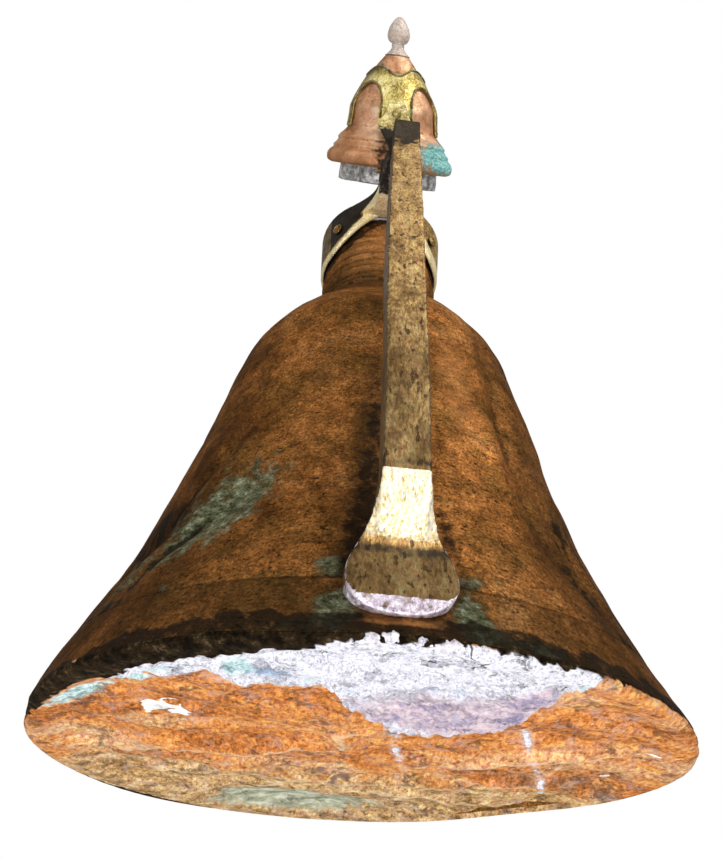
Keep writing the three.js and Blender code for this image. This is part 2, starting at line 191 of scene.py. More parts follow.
def line_mask(points, line, width):
    """1 along a line drawn on the underside in x and y, falling to 0 beside it."""
    flat = points[..., :2]
    nearest = np.full(flat.shape[:-1], 1e9)
    for a, b in zip(np.array(line, float), np.array(line, float)[1:]):
        share = np.clip(((flat - a) @ (b - a)) / ((b - a) @ (b - a)), 0, 1)
        nearest = np.minimum(nearest, np.linalg.norm(flat - (a + share[..., None] * (b - a)), axis=-1))
    return np.exp(-(nearest / width) ** 2)


def ramp(values, low, high):
    """0 at low, 1 at high, smooth between. Low may be the larger one."""
    share = np.clip((values - low) / (high - low), 0, 1)
    return share * share * (3 - 2 * share)


def paint(piece, **layers):
    """Stores numbers from 0 to 1 on the vertices, for a material to read: one for each, or one for all."""
    for name, values in layers.items():
        layer = piece.data.attributes.new(name, "FLOAT", "POINT")
        spread = np.clip(np.ravel(values), 0, 1) + np.zeros(len(layer.data))
        layer.data.foreach_set("value", spread.astype(np.float32))


def vertices(piece):
    """The piece's own points, in millimetres."""
    points = np.zeros(len(piece.data.vertices) * 3)
    piece.data.vertices.foreach_get("co", points)
    return points.reshape(-1, 3) / MM


def vertex_normals(piece):
    normals = np.zeros(len(piece.data.vertices) * 3)
    piece.data.vertices.foreach_get("normal", normals)
    return normals.reshape(-1, 3)


def move_vertices(piece, points):
    piece.data.vertices.foreach_set("co", (points * MM).ravel())
    piece.data.update()


def cast_from(node, name, voxel, smoothing):
    """A cast piece: a CAD node's solid with its facets and sharp corners worn smooth."""
    mesh = frame["nodes"][node].data.copy()
    mesh.name = name
    mesh.materials.clear()
    piece = in_scene(name, mesh)
    remesh = piece.modifiers.new("skin", "REMESH")
    remesh.mode = "VOXEL"
    remesh.voxel_size = voxel * MM
    remesh.use_smooth_shade = True
    if smoothing:
        wear = piece.modifiers.new("wear", "SMOOTH")
        wear.factor = 0.5
        wear.iterations = smoothing
    settle(piece)
    return piece


def settle(piece):
    """Turns a piece's modifiers into plain geometry."""
    bpy.context.view_layer.update()
    evaluated = piece.evaluated_get(bpy.context.evaluated_depsgraph_get())
    finished = bpy.data.meshes.new_from_object(evaluated)
    piece.modifiers.clear()
    piece.data = finished
    finished.polygons.foreach_set("use_smooth", [True] * len(finished.polygons))


def cut_window(piece, middle, size):
    """Cuts a box-shaped hole, given by its middle and its size in millimetres."""
    corners = [[middle[k] + size[k] * (side[k] - 0.5) for k in range(3)]
               for side in ((x, y, z) for z in (0, 1) for y in (0, 1) for x in (0, 1))]
    sides = [(0, 2, 3, 1), (4, 5, 7, 6), (0, 1, 5, 4), (2, 6, 7, 3), (0, 4, 6, 2), (1, 3, 7, 5)]
    cutter = mesh_piece("window_cutter", corners, sides)
    hole = piece.modifiers.new("window", "BOOLEAN")
    hole.operation = "DIFFERENCE"
    hole.solver = "EXACT"
    hole.object = cutter
    settle(piece)
    bpy.data.objects.remove(cutter)


def tube(name, path, radius, sides=8, round_path=False):
    """A round bead along a line of points."""
    path = np.array(path, float)
    along = (np.roll(path, -1, 0) - np.roll(path, 1, 0)) if round_path else np.gradient(path, axis=0)
    along = unit(along)
    side = unit(np.cross(along, outward_of(path)))
    up = np.cross(side, along)
    ring = np.linspace(0, 2 * np.pi, sides, endpoint=False)
    grid = (path[:, None] + radius * (np.cos(ring)[None, :, None] * side[:, None]
                                      + np.sin(ring)[None, :, None] * up[:, None]))
    if not round_path:
        grid = np.concatenate([path[:1, None].repeat(sides, 1), grid, path[-1:, None].repeat(sides, 1)])
    return grid_piece(name, grid, closed=round_path)


def join(pieces, name):
    """Puts several meshes into one piece."""
    parts = [vertices(p) for p in pieces]
    faces = []
    start = 0
    for p, points in zip(pieces, parts):
        faces += [[start + i for i in f.vertices] for f in p.data.polygons]
        start += len(points)
    for p in pieces:
        bpy.data.objects.remove(p)
    return mesh_piece(name, np.vstack(parts), faces)


# ---------------------------------------------------------------- material helpers
class Finish:
    """A material under construction: small functions that each add one node and give its output."""

    def __init__(self, name, home=None):
        """`home` is the matrix that takes the mesh back to the place it was designed in."""
        self.material = bpy.data.materials.new(name)
        self.material.use_nodes = True
        self.tree = self.material.node_tree
        self.shader = self.tree.nodes["Principled BSDF"]
        self.place = self.node("ShaderNodeTexCoord").outputs["Object"]
        if home:
            mapping = self.node("ShaderNodeMapping")
            self.feed(mapping.inputs["Vector"], self.place)
            mapping.inputs["Location"].default_value = home.to_translation()
            mapping.inputs["Rotation"].default_value = home.to_euler()
            self.place = mapping.outputs["Vector"]

    def node(self, kind, **settings):
        made = self.tree.nodes.new(kind)
        for key, value in settings.items():
            setattr(made, key, value)
        return made

    def feed(self, socket, value):
        if isinstance(value, bpy.types.NodeSocket):
            self.tree.links.new(value, socket)
        elif isinstance(value, tuple) and len(value) == 3 and socket.type == "RGBA":
            socket.default_value = (*value, 1)
        else:
            socket.default_value = value

    def stretched(self, x=1.0, y=1.0, z=1.0):
        """Object coordinates in millimetres, scaled along each axis."""
        mapping = self.node("ShaderNodeMapping")
        self.feed(mapping.inputs["Vector"], self.place)
        mapping.inputs["Scale"].default_value = (1000 * x, 1000 * y, 1000 * z)
        return mapping.outputs["Vector"]

    def grain(self, size, where=None, detail=4.0, roughness=0.55, distortion=0.0):
        """Cloudy noise with features of about `size` millimetres, from 0 to 1."""
        made = self.node("ShaderNodeTexNoise")
        self.feed(made.inputs["Vector"], where or self.stretched())
        made.inputs["Scale"].default_value = 1 / size
        made.inputs["Detail"].default_value = detail
        made.inputs["Roughness"].default_value = roughness
        made.inputs["Distortion"].default_value = distortion
        return made.outputs["Fac"]

    def maths(self, operation, a, b=0.0):
        made = self.node("ShaderNodeMath", operation=operation)
        self.feed(made.inputs[0], a)
        self.feed(made.inputs[1], b)
        return made.outputs[0]

    def between(self, value, low, high, to_low=0.0, to_high=1.0):
        """Spreads the range low..high over to_low..to_high, smoothly and without going past."""
        made = self.node("ShaderNodeMapRange", interpolation_type="SMOOTHSTEP")
        self.feed(made.inputs["Value"], value)
        limits = {"From Min": low, "From Max": high, "To Min": to_low, "To Max": to_high}
        for socket, number in limits.items():
            made.inputs[socket].default_value = number
        return made.outputs["Result"]

    def painted(self, name):
        return self.node("ShaderNodeAttribute", attribute_name=name).outputs["Fac"]

    def colours(self, value, *stops):
        """Colours along a ramp, as (place, (red, green, blue)) stops."""
        made = self.node("ShaderNodeValToRGB")
        elements = made.color_ramp.elements
        while len(elements) < len(stops):
            elements.new(0.5)
        for element, (place, colour) in zip(elements, stops):
            element.position = place
            element.color = (*colour, 1)
        self.feed(made.inputs["Fac"], value)
        return made.outputs["Color"]

    def mix(self, share, a, b, blend="MIX"):
        made = self.node("ShaderNodeMix", data_type="RGBA", blend_type=blend)
        self.feed(made.inputs[0], share)
        self.feed(made.inputs[6], a)
        self.feed(made.inputs[7], b)
        return made.outputs[2]

    def over(self, colour, tone, share, strength):
        """Lays a tone over a colour by a share, at most by its strength."""
        return self.mix(self.maths("MULTIPLY", share, strength), colour, tone)

    def relief(self, *layers):
        """Bumps laid over each other, each as (height from 0 to 1, depth in millimetres)."""
        normal = None
        for height, depth in layers:
            made = self.node("ShaderNodeBump")
            made.inputs["Distance"].default_value = depth * MM
            self.feed(made.inputs["Height"], height)
            if normal:
                self.feed(made.inputs["Normal"], normal)
            normal = made.outputs["Normal"]
        self.feed(self.shader.inputs["Normal"], normal)

    def finish(self, colour, roughness, metallic):
        self.feed(self.shader.inputs["Base Color"], colour)
        self.feed(self.shader.inputs["Roughness"], roughness)
        self.feed(self.shader.inputs["Metallic"], metallic)
        return self.material


GREEN = ((0.34, (0.008, 0.010, 0.006)), (0.45, (0.055, 0.065, 0.032)), (0.54, (0.17, 0.20, 0.12)),
         (0.61, (0.40, 0.43, 0.31)), (0.72, (0.70, 0.71, 0.58)))
TURQUOISE = ((0.34, (0.0, 0.045, 0.05)), (0.45, (0.03, 0.38, 0.40)), (0.55, (0.30, 0.80, 0.80)),
             (0.68, (0.90, 1.0, 1.0)))


def masked(f, name, size, low=0.35, high=0.65, strength=1.0):
    """A painted area whose rim breaks up into blotches."""
    noise_part = f.maths("SUBTRACT", f.grain(size, detail=7, roughness=0.65), 0.5)
    spread = f.maths("ADD", f.painted(name), f.maths("MULTIPLY", noise_part, strength * 1.6))
    return f.between(spread, low, high)


def grit(f, colour, size, share, where=None):
    """Breaks a colour up with fine light and dark speckle."""
    fine = f.grain(size, where, detail=6, roughness=0.8)
    tones = f.colours(fine, (0.36, (0.01, 0.008, 0.006)), (0.46, (0.34, 0.32, 0.30)),
                      (0.54, (0.62, 0.60, 0.57)), (0.64, (1.0, 0.97, 0.92)))
    return f.mix(share, colour, tones, "OVERLAY"), fine


def body_copper(name, stops, contrast=0.8, size=1.0, patina=GREEN, home=None):
    """Old copper: brown and olive clouds, fine speckle, dark pits and strokes drawn out round the pot, with
    painted shade, dirt and painted shadow where the pieces paint them.
    """
    f = Finish(name, home)
    clouds = f.grain(30 * size, detail=6, roughness=0.6, distortion=0.5)
    colour = f.colours(clouds, *stops)
    olive = f.between(f.grain(15 * size, f.stretched(0.7, 0.7, 1), detail=5, roughness=0.6), 0.46, 0.62)
    colour = f.over(colour, (0.12, 0.078, 0.022), olive, 0.4)
    colour, fine = grit(f, colour, 0.75 * size, contrast)
    colour, spun = grit(f, colour, 0.9 * size, contrast * 0.4, f.stretched(0.4, 0.4, 1))
    colour, _ = grit(f, colour, 5.0 * size, contrast * 0.6)
    streaks = f.between(f.grain(1.3 * size, f.stretched(0.28, 0.28, 1), detail=6, roughness=0.8), 0.60, 0.66)
    colour = f.over(colour, (0.022, 0.011, 0.006), streaks, 0.6)
    pits = f.between(f.grain(1.1 * size, f.stretched(0.5, 0.5, 1), detail=3), 0.64, 0.69)
    colour = f.over(colour, (0.010, 0.005, 0.004), pits, contrast)
    # worn places, and the painted glint that the base puts on the pan's ledge
    worn = masked(f, "worn", 12 * size, 0.3, 1.0, 0.7)
    colour = f.over(colour, f.mix(0.4, (0.60, 0.27, 0.10), colour), worn, 0.55)
    flakes = f.between(f.grain(1.1 * size, f.stretched(0.6, 0.6, 1), detail=6, roughness=0.85), 0.62, 0.70)
    colour = f.over(colour, (0.62, 0.45, 0.30), flakes, 0.35)
    shade = masked(f, "shade", 9 * size, 0.1, 0.95, 0.5)
    colour = f.over(colour, f.mix(0.25, (0.035, 0.022, 0.008), colour), shade, 0.78)
    green = masked(f, "verdigris", 4 * size, 0.35, 0.95, 1.3)
    crust = f.grain(2.2 * size, f.stretched(0.6, 0.6, 1), detail=8, roughness=0.85)
    colour = f.over(colour, f.colours(crust, *patina), green, 0.85)
    # dirt, and painted shadow where parts meet or hang over: darkens the colour to near black
    grime = masked(f, "grime", 4 * size, 0.35, 0.95, 1.3)
    colour = f.over(colour, (0.008, 0.006, 0.004), grime, 0.9)
    dull = f.maths("MAXIMUM", green, grime)
    f.relief((fine, 0.12 * size), (spun, 0.12 * size), (pits, -0.4 * size), (streaks, -0.2 * size),
             (f.grain(7, detail=4), 0.7 * size),
             (f.maths("MULTIPLY", green, f.grain(1.2 * size, detail=6)), 0.8))
    polish = f.between(f.grain(12 * size), 0.3, 0.7, 0.46, 0.64)
    roughness = f.maths("ADD", polish, f.maths("MULTIPLY", dull, 0.25))
    f.feed(f.shader.inputs["Specular IOR Level"], 0.08)
    f.feed(f.shader.inputs["Specular Tint"], (0.50, 0.34, 0.20))
    return f.finish(colour, roughness, f.between(dull, 0, 1, 0.7, 0.02))


def base_copper():
    """The underside: bare orange copper with a film of tan oxide, tin, lime and dirt on it, and painted
    highlights along the creases.
    """
    f = Finish("base_copper")
    long_grain = f.stretched(0.8, 0.7, 1)
    clouds = f.grain(22, f.stretched(0.45, 1, 1), detail=6, roughness=0.6, distortion=0.8)
    colour = f.colours(clouds, (0.30, (0.26, 0.12, 0.055)), (0.42, (0.50, 0.18, 0.045)),
                       (0.52, (0.66, 0.29, 0.085)), (0.60, (0.64, 0.36, 0.17)), (0.72, (0.74, 0.50, 0.30)))
    beige = masked(f, "beige", 9, 0.30, 0.85, 0.9)
    sand = f.colours(f.grain(5, long_grain, detail=6), (0.35, (0.30, 0.18, 0.075)),
                     (0.5, (0.56, 0.37, 0.17)), (0.65, (0.74, 0.56, 0.34)))
    colour = f.mix(beige, colour, sand)
    colour, fibres = grit(f, colour, 1.3, 0.8, f.stretched(1, 0.55, 1))
    colour, _ = grit(f, colour, 4.5, 0.35, f.stretched(0.7, 0.9, 1))
    rose = f.between(f.grain(6, long_grain, detail=8, roughness=0.85), 0.50, 0.62)
    colour = f.over(colour, (0.50, 0.35, 0.31), rose, 0.6)
    dirt = f.between(f.grain(7, f.stretched(0.8, 0.8, 1), detail=8, roughness=0.8), 0.54, 0.64)
    colour = f.over(colour, (0.19, 0.10, 0.075), dirt, 0.7)
    flecks = f.between(f.grain(2.6, long_grain, detail=8, roughness=0.9), 0.56, 0.68)
    colour = f.over(colour, (0.86, 0.74, 0.62), flecks, 0.75)
    # painted highlights along the creases, and a few pale patches
    lines = masked(f, "pale", 3, 0.4, 0.9, 1.1)
    colour = f.over(colour, (0.80, 0.64, 0.42), lines, 0.5)
    green = masked(f, "verdigris", 5, 0.42, 0.8, 0.8)
    moss = f.colours(f.grain(4, f.stretched(0.4, 1, 1), detail=7, roughness=0.75), (0.3, (0.10, 0.10, 0.065)),
                     (0.48, (0.30, 0.31, 0.22)), (0.62, (0.56, 0.58, 0.46)))
    colour = f.mix(green, colour, moss)
    tin = masked(f, "tin", 3.5, 0.42, 0.58, 0.32)
    broken = f.between(f.grain(2, detail=7, roughness=0.8), 0.40, 0.60)
    halo = f.maths("MULTIPLY", f.between(f.painted("tin"), 0.12, 0.45), broken)
    colour = f.over(colour, (0.90, 0.66, 0.55), halo, 0.6)
    white = f.colours(f.grain(1.0, detail=8, roughness=0.9), (0.36, (0.08, 0.07, 0.11)),
                      (0.44, (0.50, 0.49, 0.60)), (0.51, (0.86, 0.86, 0.93)), (0.64, (1.0, 1.0, 1.0)))
    bloom = masked(f, "bloom", 7, 0.30, 0.85, 0.9)
    wash = f.grain(4.5, f.stretched(0.6, 1, 1), detail=8, roughness=0.85)
    mauve = f.colours(wash, (0.30, (0.10, 0.10, 0.14)), (0.43, (0.34, 0.30, 0.44)),
                      (0.52, (0.66, 0.52, 0.58)), (0.62, (0.82, 0.72, 0.76)), (0.75, (0.86, 0.92, 0.95)))
    veil = f.between(f.grain(7, f.stretched(0.8, 0.8, 1), detail=6, roughness=0.7), 0.48, 0.62)
    white = f.over(white, f.mix(0.5, (0.56, 0.55, 0.68), white), veil, 0.5)
    pool = f.mix(bloom, white, mauve)
    cold = masked(f, "blue", 4, 0.4, 0.9, 0.9)
    pool = f.over(pool, (0.24, 0.42, 0.66), cold, 0.6)
    colour = f.mix(tin, colour, pool)
    teal = masked(f, "teal", 4, 0.4, 0.9, 1.2)
    blue_green = f.colours(f.grain(2.4, detail=8, roughness=0.85), (0.3, (0.04, 0.12, 0.16)),
                           (0.43, (0.24, 0.45, 0.50)), (0.54, (0.62, 0.82, 0.80)), (0.7, (0.93, 0.97, 0.94)))
    colour = f.over(colour, blue_green, teal, 0.9)
    colour = f.mix(masked(f, "lime", 2, 0.45, 0.55, 0.45), colour, (0.98, 0.98, 0.97))
    folds = f.grain(6, f.stretched(0.7, 1, 1), detail=3, distortion=0.8)
    cracks = f.between(f.maths("ABSOLUTE", f.maths("SUBTRACT", folds, 0.5)), 0.004, 0.022, 1, 0)
    cracks = f.maths("MULTIPLY", cracks, f.painted("crumble"))
    cracks = f.maths("MULTIPLY", cracks, f.between(f.grain(9), 0.45, 0.6))
    colour = f.over(colour, (0.02, 0.02, 0.02), cracks, 0.9)
    # dirt and painted shadow, as near-black tones, where the pieces paint them
    grime = masked(f, "grime", 4, 0.4, 0.7, 0.9)
    darkening = f.colours(f.grain(3.5, detail=7, roughness=0.8), (0.42, (0.004, 0.003, 0.002)),
                     (0.56, (0.030, 0.018, 0.008)), (0.66, (0.12, 0.085, 0.045)))
    colour = f.mix(grime, colour, darkening)
    dull = f.maths("MAXIMUM", f.maths("MAXIMUM", green, grime), teal)
    swells = f.grain(9, f.stretched(0.5, 1, 1), detail=5)
    f.relief((fibres, 0.3), (dirt, -0.35), (swells, 1.1), (cracks, -0.8),
             (f.maths("MULTIPLY", tin, f.grain(1.7, detail=7, roughness=0.75)), 0.8))
    roughness = f.maths("ADD", f.between(f.grain(8), 0.3, 0.7, 0.5, 0.68), f.maths("MULTIPLY", dull, 0.2))
    metallic = f.maths("MULTIPLY", f.between(dull, 0, 1, 0.4, 0.05), f.between(tin, 0, 1, 1, 0.25))
    f.feed(f.shader.inputs["Specular IOR Level"], 0.06)
    f.feed(f.shader.inputs["Specular Tint"], (0.60, 0.46, 0.34))
    return f.finish(colour, roughness, metallic)


def brass(name, dark, mid, light, gleam=(1.0, 0.97, 0.84), pitting=1.0, specks=0.75, tall=1.0):
    """Cast brass: mottled olive to gold, with dark speckles and a dull cast skin; painted shade, dirt and
    painted shadow, and polish and painted highlights where the pieces paint them.
    """
    f = Finish(name)
    drawn = f.stretched(1, 1, tall)
    clouds = f.grain(8, drawn, detail=7, roughness=0.7)
    colour = f.colours(clouds, (0.34, dark), (0.5, mid), (0.66, light))
    colour, speck = grit(f, colour, 0.8, specks, drawn)
    colour, _ = grit(f, colour, 3.2, specks * 0.7, drawn)
    pits = f.between(f.grain(1.5, drawn, detail=3), 0.60, 0.67)
    colour = f.mix(f.maths("MULTIPLY", pits, 0.8 * pitting), colour, (0.045, 0.014, 0.010))
    shade = masked(f, "shade", 5, 0.1, 0.95, 0.6)
    colour = f.over(colour, (0.050, 0.028, 0.010), shade, 0.8)
    # dirt, and painted shadow where parts meet or hang over: darkens the colour to near black
    grime = masked(f, "grime", 3, 0.38, 0.75, 0.8)
    colour = f.over(colour, (0.010, 0.007, 0.004), grime, 0.95)
    green = masked(f, "verdigris", 2.5, 0.42, 0.8, 1.2)
    colour = f.mix(green, colour, f.colours(f.grain(1.6, detail=6, roughness=0.8), *GREEN))
    # polish, and painted highlights: gold to near-white tones where the pieces paint them
    polished = masked(f, "polished", 2, 0.38, 0.66, 0.45)
    shine_tones = f.colours(speck, (0.34, (0.44, 0.28, 0.09)), (0.43, (0.84, 0.66, 0.29)), (0.54, gleam))
    colour = f.mix(polished, colour, shine_tones)
    lilac = masked(f, "lilac", 2, 0.4, 0.75, 0.9)
    frost = f.colours(f.grain(1.3, detail=8, roughness=0.85), (0.32, (0.12, 0.08, 0.10)),
                      (0.45, (0.50, 0.40, 0.52)), (0.55, (0.86, 0.80, 0.86)), (0.7, (0.98, 0.98, 0.98)))
    colour = f.mix(lilac, colour, frost)
    dull = f.maths("MAXIMUM", green, grime)
    f.relief((speck, 0.16), (pits, -0.3), (f.grain(5, detail=4), 0.35))
    polish = f.between(f.grain(5, detail=5), 0.3, 0.7, 0.4, 0.58)
    roughness = f.maths("ADD", polish, f.maths("MULTIPLY", dull, 0.3))
    f.feed(f.shader.inputs["Specular IOR Level"], 0.3)
    return f.finish(colour, roughness, f.between(dull, 0, 1, 0.8, 0.08))


def tin_metal(name, dark, mid, light, blush, metallic, size=1.1):
    """Tin or grey alloy: bright and dark speckle with faint stains."""
    f = Finish(name)
    speck = f.grain(size, detail=7, roughness=0.8)
    colour = f.colours(speck, (0.34, dark), (0.46, mid), (0.58, light))
    stain = f.between(f.grain(5, detail=5), 0.45, 0.62)
    colour = f.mix(f.maths("MULTIPLY", stain, 0.5), colour, blush)
    f.relief((speck, 0.3), (f.grain(4, detail=4), 0.4))
    return f.finish(colour, f.between(f.grain(3), 0.3, 0.7, 0.35, 0.6), metallic)


def dress(piece, material, body, slot, *nodes):
    """Gives a piece its material and body, and names the CAD nodes that it replaces. The slot is not used."""
    piece.data.materials.clear()
    piece.data.materials.append(material)
    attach(piece, body)
    if nodes:
        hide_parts(*nodes)
    return piece


# ---------------------------------------------------------------- base
BASE_R = 95
PAN_TOP_R = 88.3
PAN_TOP_Z = 17
SHEET = 1.5

# Knocks in the rim, as (turn, spread, depth). They fade out above KNOCK_TOP_Z.
RIM_KNOCKS = [(68, 18, -2), (138, 36, 9), (228, 22, -8), (275, 25, 2.5)]
KNOCK_TOP_Z = 13

# Where the tin stops on the underside: its inner edge as (x, y), from one side to the other.
TIN_SHORE = [(-50, 95), (-43, 82), (-41.5, 72), (-41, 62), (-39, 46), (-36, 37), (-28, 29), (-17, 25),
             (-8, 28), (1, 37), (10.5, 50), (13.5, 56), (22, 57.5), (31, 55), (37, 56), (42, 62), (48, 60),
             (55, 56.5), (63, 49)]
# Where the dark band of the wall runs on under the rim: its inner edge as (turn, radius).
RIM_DARK = [(-60, 97), (-20, 94.6), (8, 94), (13, 90), (18, 88.8), (25, 86.2), (38, 87), (47, 85.5),
            (57, 87.6), (70, 90), (88, 96)]
# Creases in the underside and runs of tin on it, as lines in x and y.
CREASES = [[(84, -16), (66, -8), (52, -5), (31, -4), (10, 8), (-2, 21)],
           [(-20, -6), (-38, 4), (-56, 16), (-74, 22)],
           [(60, -38), (30, -30), (0, -34), (-36, -28), (-62, -14)],
           [(50, -60), (20, -44), (-10, -42), (-40, -52)]]
SHORT_DRIP = [(-8, 27), (-12, 4), (-19, -20)]
LONG_DRIP = [(-41, 36), (-50, 14), (-60, -10), (-68, -32)]

# Dents and stains of the underside, as rows for discs().
UNDER_DENTS = [(2.4, 12, -74, 42, 12, 3), (1.8, -50, 30, 24, 9, -18), (1.8, 45, 18, 26, 8, 10)]
UNDER_BLOOM = [(1.3, -18, 44, 32, 19), (0.9, -36, 62, 9, 14), (0.35, 12, 70, 14, 8)]
UNDER_BLUE = [(0.9, 27, 66, 10, 5), (0.7, -14, 62, 12, 4), (0.6, -22, 44, 9, 6), (0.5, 8, 56, 8, 5)]
UNDER_BEIGE = [(0.6, -66, 0, 26, 16), (0.6, 60, 14, 26, 10, 20), (0.35, 76, 0, 18, 18)]
UNDER_PALE = [(0.5, -72, 14, 14, 5, -20), (0.4, 24, 20, 12, 9, 30), (0.3, 66, 12, 10, 4, 10)]
UNDER_LIME = [(1.0, 52, 26.5, 5.5, 7.5, -16), (0.9, 58, 28.5, 3.2, 4), (0.8, 59, 23.5, 1.8, 4),
              (-1.2, 55.5, 22, 2, 3), (0.8, -80, 27, 5, 2.5, -20), (0.7, -79, -4, 3.5, 2.5)]
UNDER_TEAL = [(1.2, 75, 37, 17, 6, -41), (0.8, 59, 54, 9, 5, -30), (0.7, 50, 63, 9, 5, -20),
              (0.95, 34, 68, 6, 8), (0.65, 16, 66, 7, 8), (0.5, -42, 79, 12, 5, 28)]
UNDER_GREEN = [(1.5, 14, -76, 40, 13, 2), (0.4, -80, 0, 14, 30)]
# Green on the pan's wall, as rows for patches().
WALL_GREEN = [(1.6, 9.5, 8, 6, 7), (1.6, -9, 8, 5.5, 8), (1.0, -17, 3.5, 14, 3.5), (0.7, 17, 3, 12, 3)]


def knock_rim(grid):
    radius = np.maximum(radius_of(grid), 1)
    turns, heights = turn_and_height(grid)
    push = sum(depth * np.exp(-(turn_from(middle, turns) / spread) ** 2)
               for middle, spread, depth in RIM_KNOCKS)
    grown = 1 + push * ramp(heights, KNOCK_TOP_Z, 0) * ramp(radius, 60, 88) / radius
    grid[..., 0] *= grown
    grid[..., 1] *= grown


def crease_mask(points, width):
    """1 along the creases, which wander a little from their lines."""
    wandering = points + rough(points * [1, 1, 0], 15, 5, 1.1)[..., None]
    return sum(line_mask(wandering, line, width) for line in CREASES)


def base_heights(points):
    """How far the worn underside stands above the table. The rim stays on it."""
    inside = ramp(radius_of(points), 93, 80)
    waves = rough(points * [0.45, 1.0, 0], 17, 1.7, 3.1) + rough(points * [1, 1, 0], 6, 0.5, 9.7)
    worn = 3.0 + waves - 2.0 * crease_mask(points, 4.5) + discs(points, UNDER_DENTS)
    return inside * worn.clip(0.1, 8)


def tin_cover(points):
    """1 on the tinned repair at the handle side, 0 off it."""
    shore_x, shore_y = np.array(TIN_SHORE).T
    shore = np.interp(points[..., 0], shore_x, shore_y)
    edge = rough(points * [1, 1, 0], 6, 3.5, 2.7)
    cover = ramp(points[..., 1] - shore + edge, -5, 5)
    return cover * ramp(points[..., 0], 68, 62)


def make_base():
    under = straight([[0, 0], [92.5, 0]], 1.0)
    rim = curve([[92.5, 0], [94.3, 0.7], [BASE_R, 2.2], [91.8, 9], [PAN_TOP_R, PAN_TOP_Z]], 0.8)
    inner = curve([[PAN_TOP_R - SHEET, PAN_TOP_Z], [90, 9], [92.6, 3.2], [90.5, SHEET]], 1.5)
    floor = straight([[88, SHEET], [0, SHEET]], 3)
    profile = np.vstack([under[:-1], rim, inner, floor])
    row = np.arange(len(profile))
    is_under = row < len(under) - 1
    is_sole = row < len(under) + 3
    is_floor = row >= len(profile) - len(floor)
    grid = turned(profile, 420)
    knock_rim(grid)
    grid[..., 2] += np.where((is_under | is_floor)[:, None], base_heights(grid), 0)
    cover = tin_cover(grid)
    lumps = rough(grid, 2.4, 0.9, 4.4) + rough(grid, 1.2, 0.5, 8.8)
    thick = cover * (0.8 + lumps).clip(0, 3)
    grid[..., 2] -= np.where(is_under[:, None], np.minimum(thick, grid[..., 2]), 0)
    wobble = rough(grid * [1, 1, 0.3], 22, 0.6, 2.2) + rough(grid, 5, 0.25, 6.2)
    fade = np.where(is_under | is_floor, 0, 1)[:, None] * ramp(grid[..., 2], 17, 9)
    grid += outward_of(grid) * (fade * wobble)[..., None]
    base = grid_piece("base_plate", grid, closed=False)

    turns, heights = turn_and_height(grid)
    radius = radius_of(grid)
    sole = np.where(is_sole, 1, 0)[:, None]
    wall = 1 - sole
    short_drip = 0.72 * line_mask(grid, SHORT_DRIP, 2.3)
    drips = np.maximum(short_drip, 0.85 * line_mask(grid, LONG_DRIP, 1.9))
    splash = rough(grid * [1, 1, 0], 3.5, 0.9, 6.4) * disc(grid, 54, 27, 10, 10)
    paint(base,
          tin=np.maximum(cover, drips * (0.62 + rough(grid, 4, 0.5, 3.3))) * sole,
          bloom=discs(grid, UNDER_BLOOM) + 0.4 * drips,
          blue=discs(grid, UNDER_BLUE),
          beige=0.95 * ramp(grid[..., 1], 0, -46) + discs(grid, UNDER_BEIGE),
          # painted highlights along the creases, and a few pale patches
          pale=0.9 * crease_mask(grid, 1.8) + discs(grid, UNDER_PALE),
          lime=splash + discs(grid, UNDER_LIME),
          teal=discs(grid, UNDER_TEAL),
          crumble=ramp(radius, 66, 88) * cover * 1.2,
          verdigris=sole * discs(grid, UNDER_GREEN) + wall * patches(grid, WALL_GREEN))

    behind = ramp(np.abs(turns), 88, 60)
    band_top = 3.0 + 4.2 * ramp(np.abs(turns + 4), 62, 24) + rough(grid * [1, 1, 0.4], 6, 2.6, 5.2)
    dark_band = behind * 1.25 * ramp(heights, band_top + 1, band_top - 1.5)
    dark_edge = np.interp(turns, *np.array(RIM_DARK).T, 99, 99)
    rim_dark = ramp(radius - dark_edge + rough(grid * [1, 1, 0], 3, 1.6, 7.1), -0.8, 1.2)
    # painted glint on the pan's ledge under the handle's foot
    glinting_ledge = disc(grid, 1.4, 92, 11, 9) * ramp(heights, 3.6, 4.6)
    # near black in a band at the foot of the wall and in a ring under the rim, less on the glinting ledge;
    # painted shade on the wall at the handle side, less at the foot; the worn layer lifts the ledge to a
    # painted glint
    paint(base,
          grime=1.1 * sole * rim_dark + wall * (dark_band + 0.3 * ramp(heights, 6, 3) - 1.6 * glinting_ledge),
          shade=behind * (0.95 - 0.8 * disc(grid, 0, 92, 13, 9)) + 0.35,
          worn=0.45 * ramp(np.abs(turns), 60, 100) + 2.0 * glinting_ledge)
    is_wall = ~is_sole & ~is_floor
    return base, np.repeat(is_wall[:-1], grid.shape[1])


# ---------------------------------------------------------------- body
body_line = curve([[PAN_TOP_R - 0.2, PAN_TOP_Z + 0.3], [77.7, 43], [69.4, 71], [63.1, 100], [57.2, 127],
                   [52.6, 145], [43.6, 160], [32, 173], [25.6, 184]], 1.4)

# Dents as (turn, height, half width, half height, lean, depth).
BODY_DENTS = [
    (36, 47, 19, 8, -46, 3.0), (58, 42, 14, 9, 0, 1.8), (30, 58, 15, 3.5, -40, -0.9),
    (50, 22, 26, 5, -20, 1.0), (-34, 92, 5, 50, 4, 2.3), (-27, 80, 5, 36, 4, -1.1),
    (-43, 44, 4, 34, -14, 1.8), (-38, 30, 3.5, 26, -24, 1.2), (54, 46, 3.5, 40, 24, 1.6),
    (46, 34, 3, 30, 34, 1.3), (62, 30, 3, 28, 18, 1.2), (24, 98, 22, 26, 0, 0.7),
    (120, 70, 26, 18, 20, 1.6), (-120, 52, 22, 14, -15, 1.3), (200, 95, 20, 24, 0, 1.0),
    (165, 40, 24, 12, 10, 1.4),
]
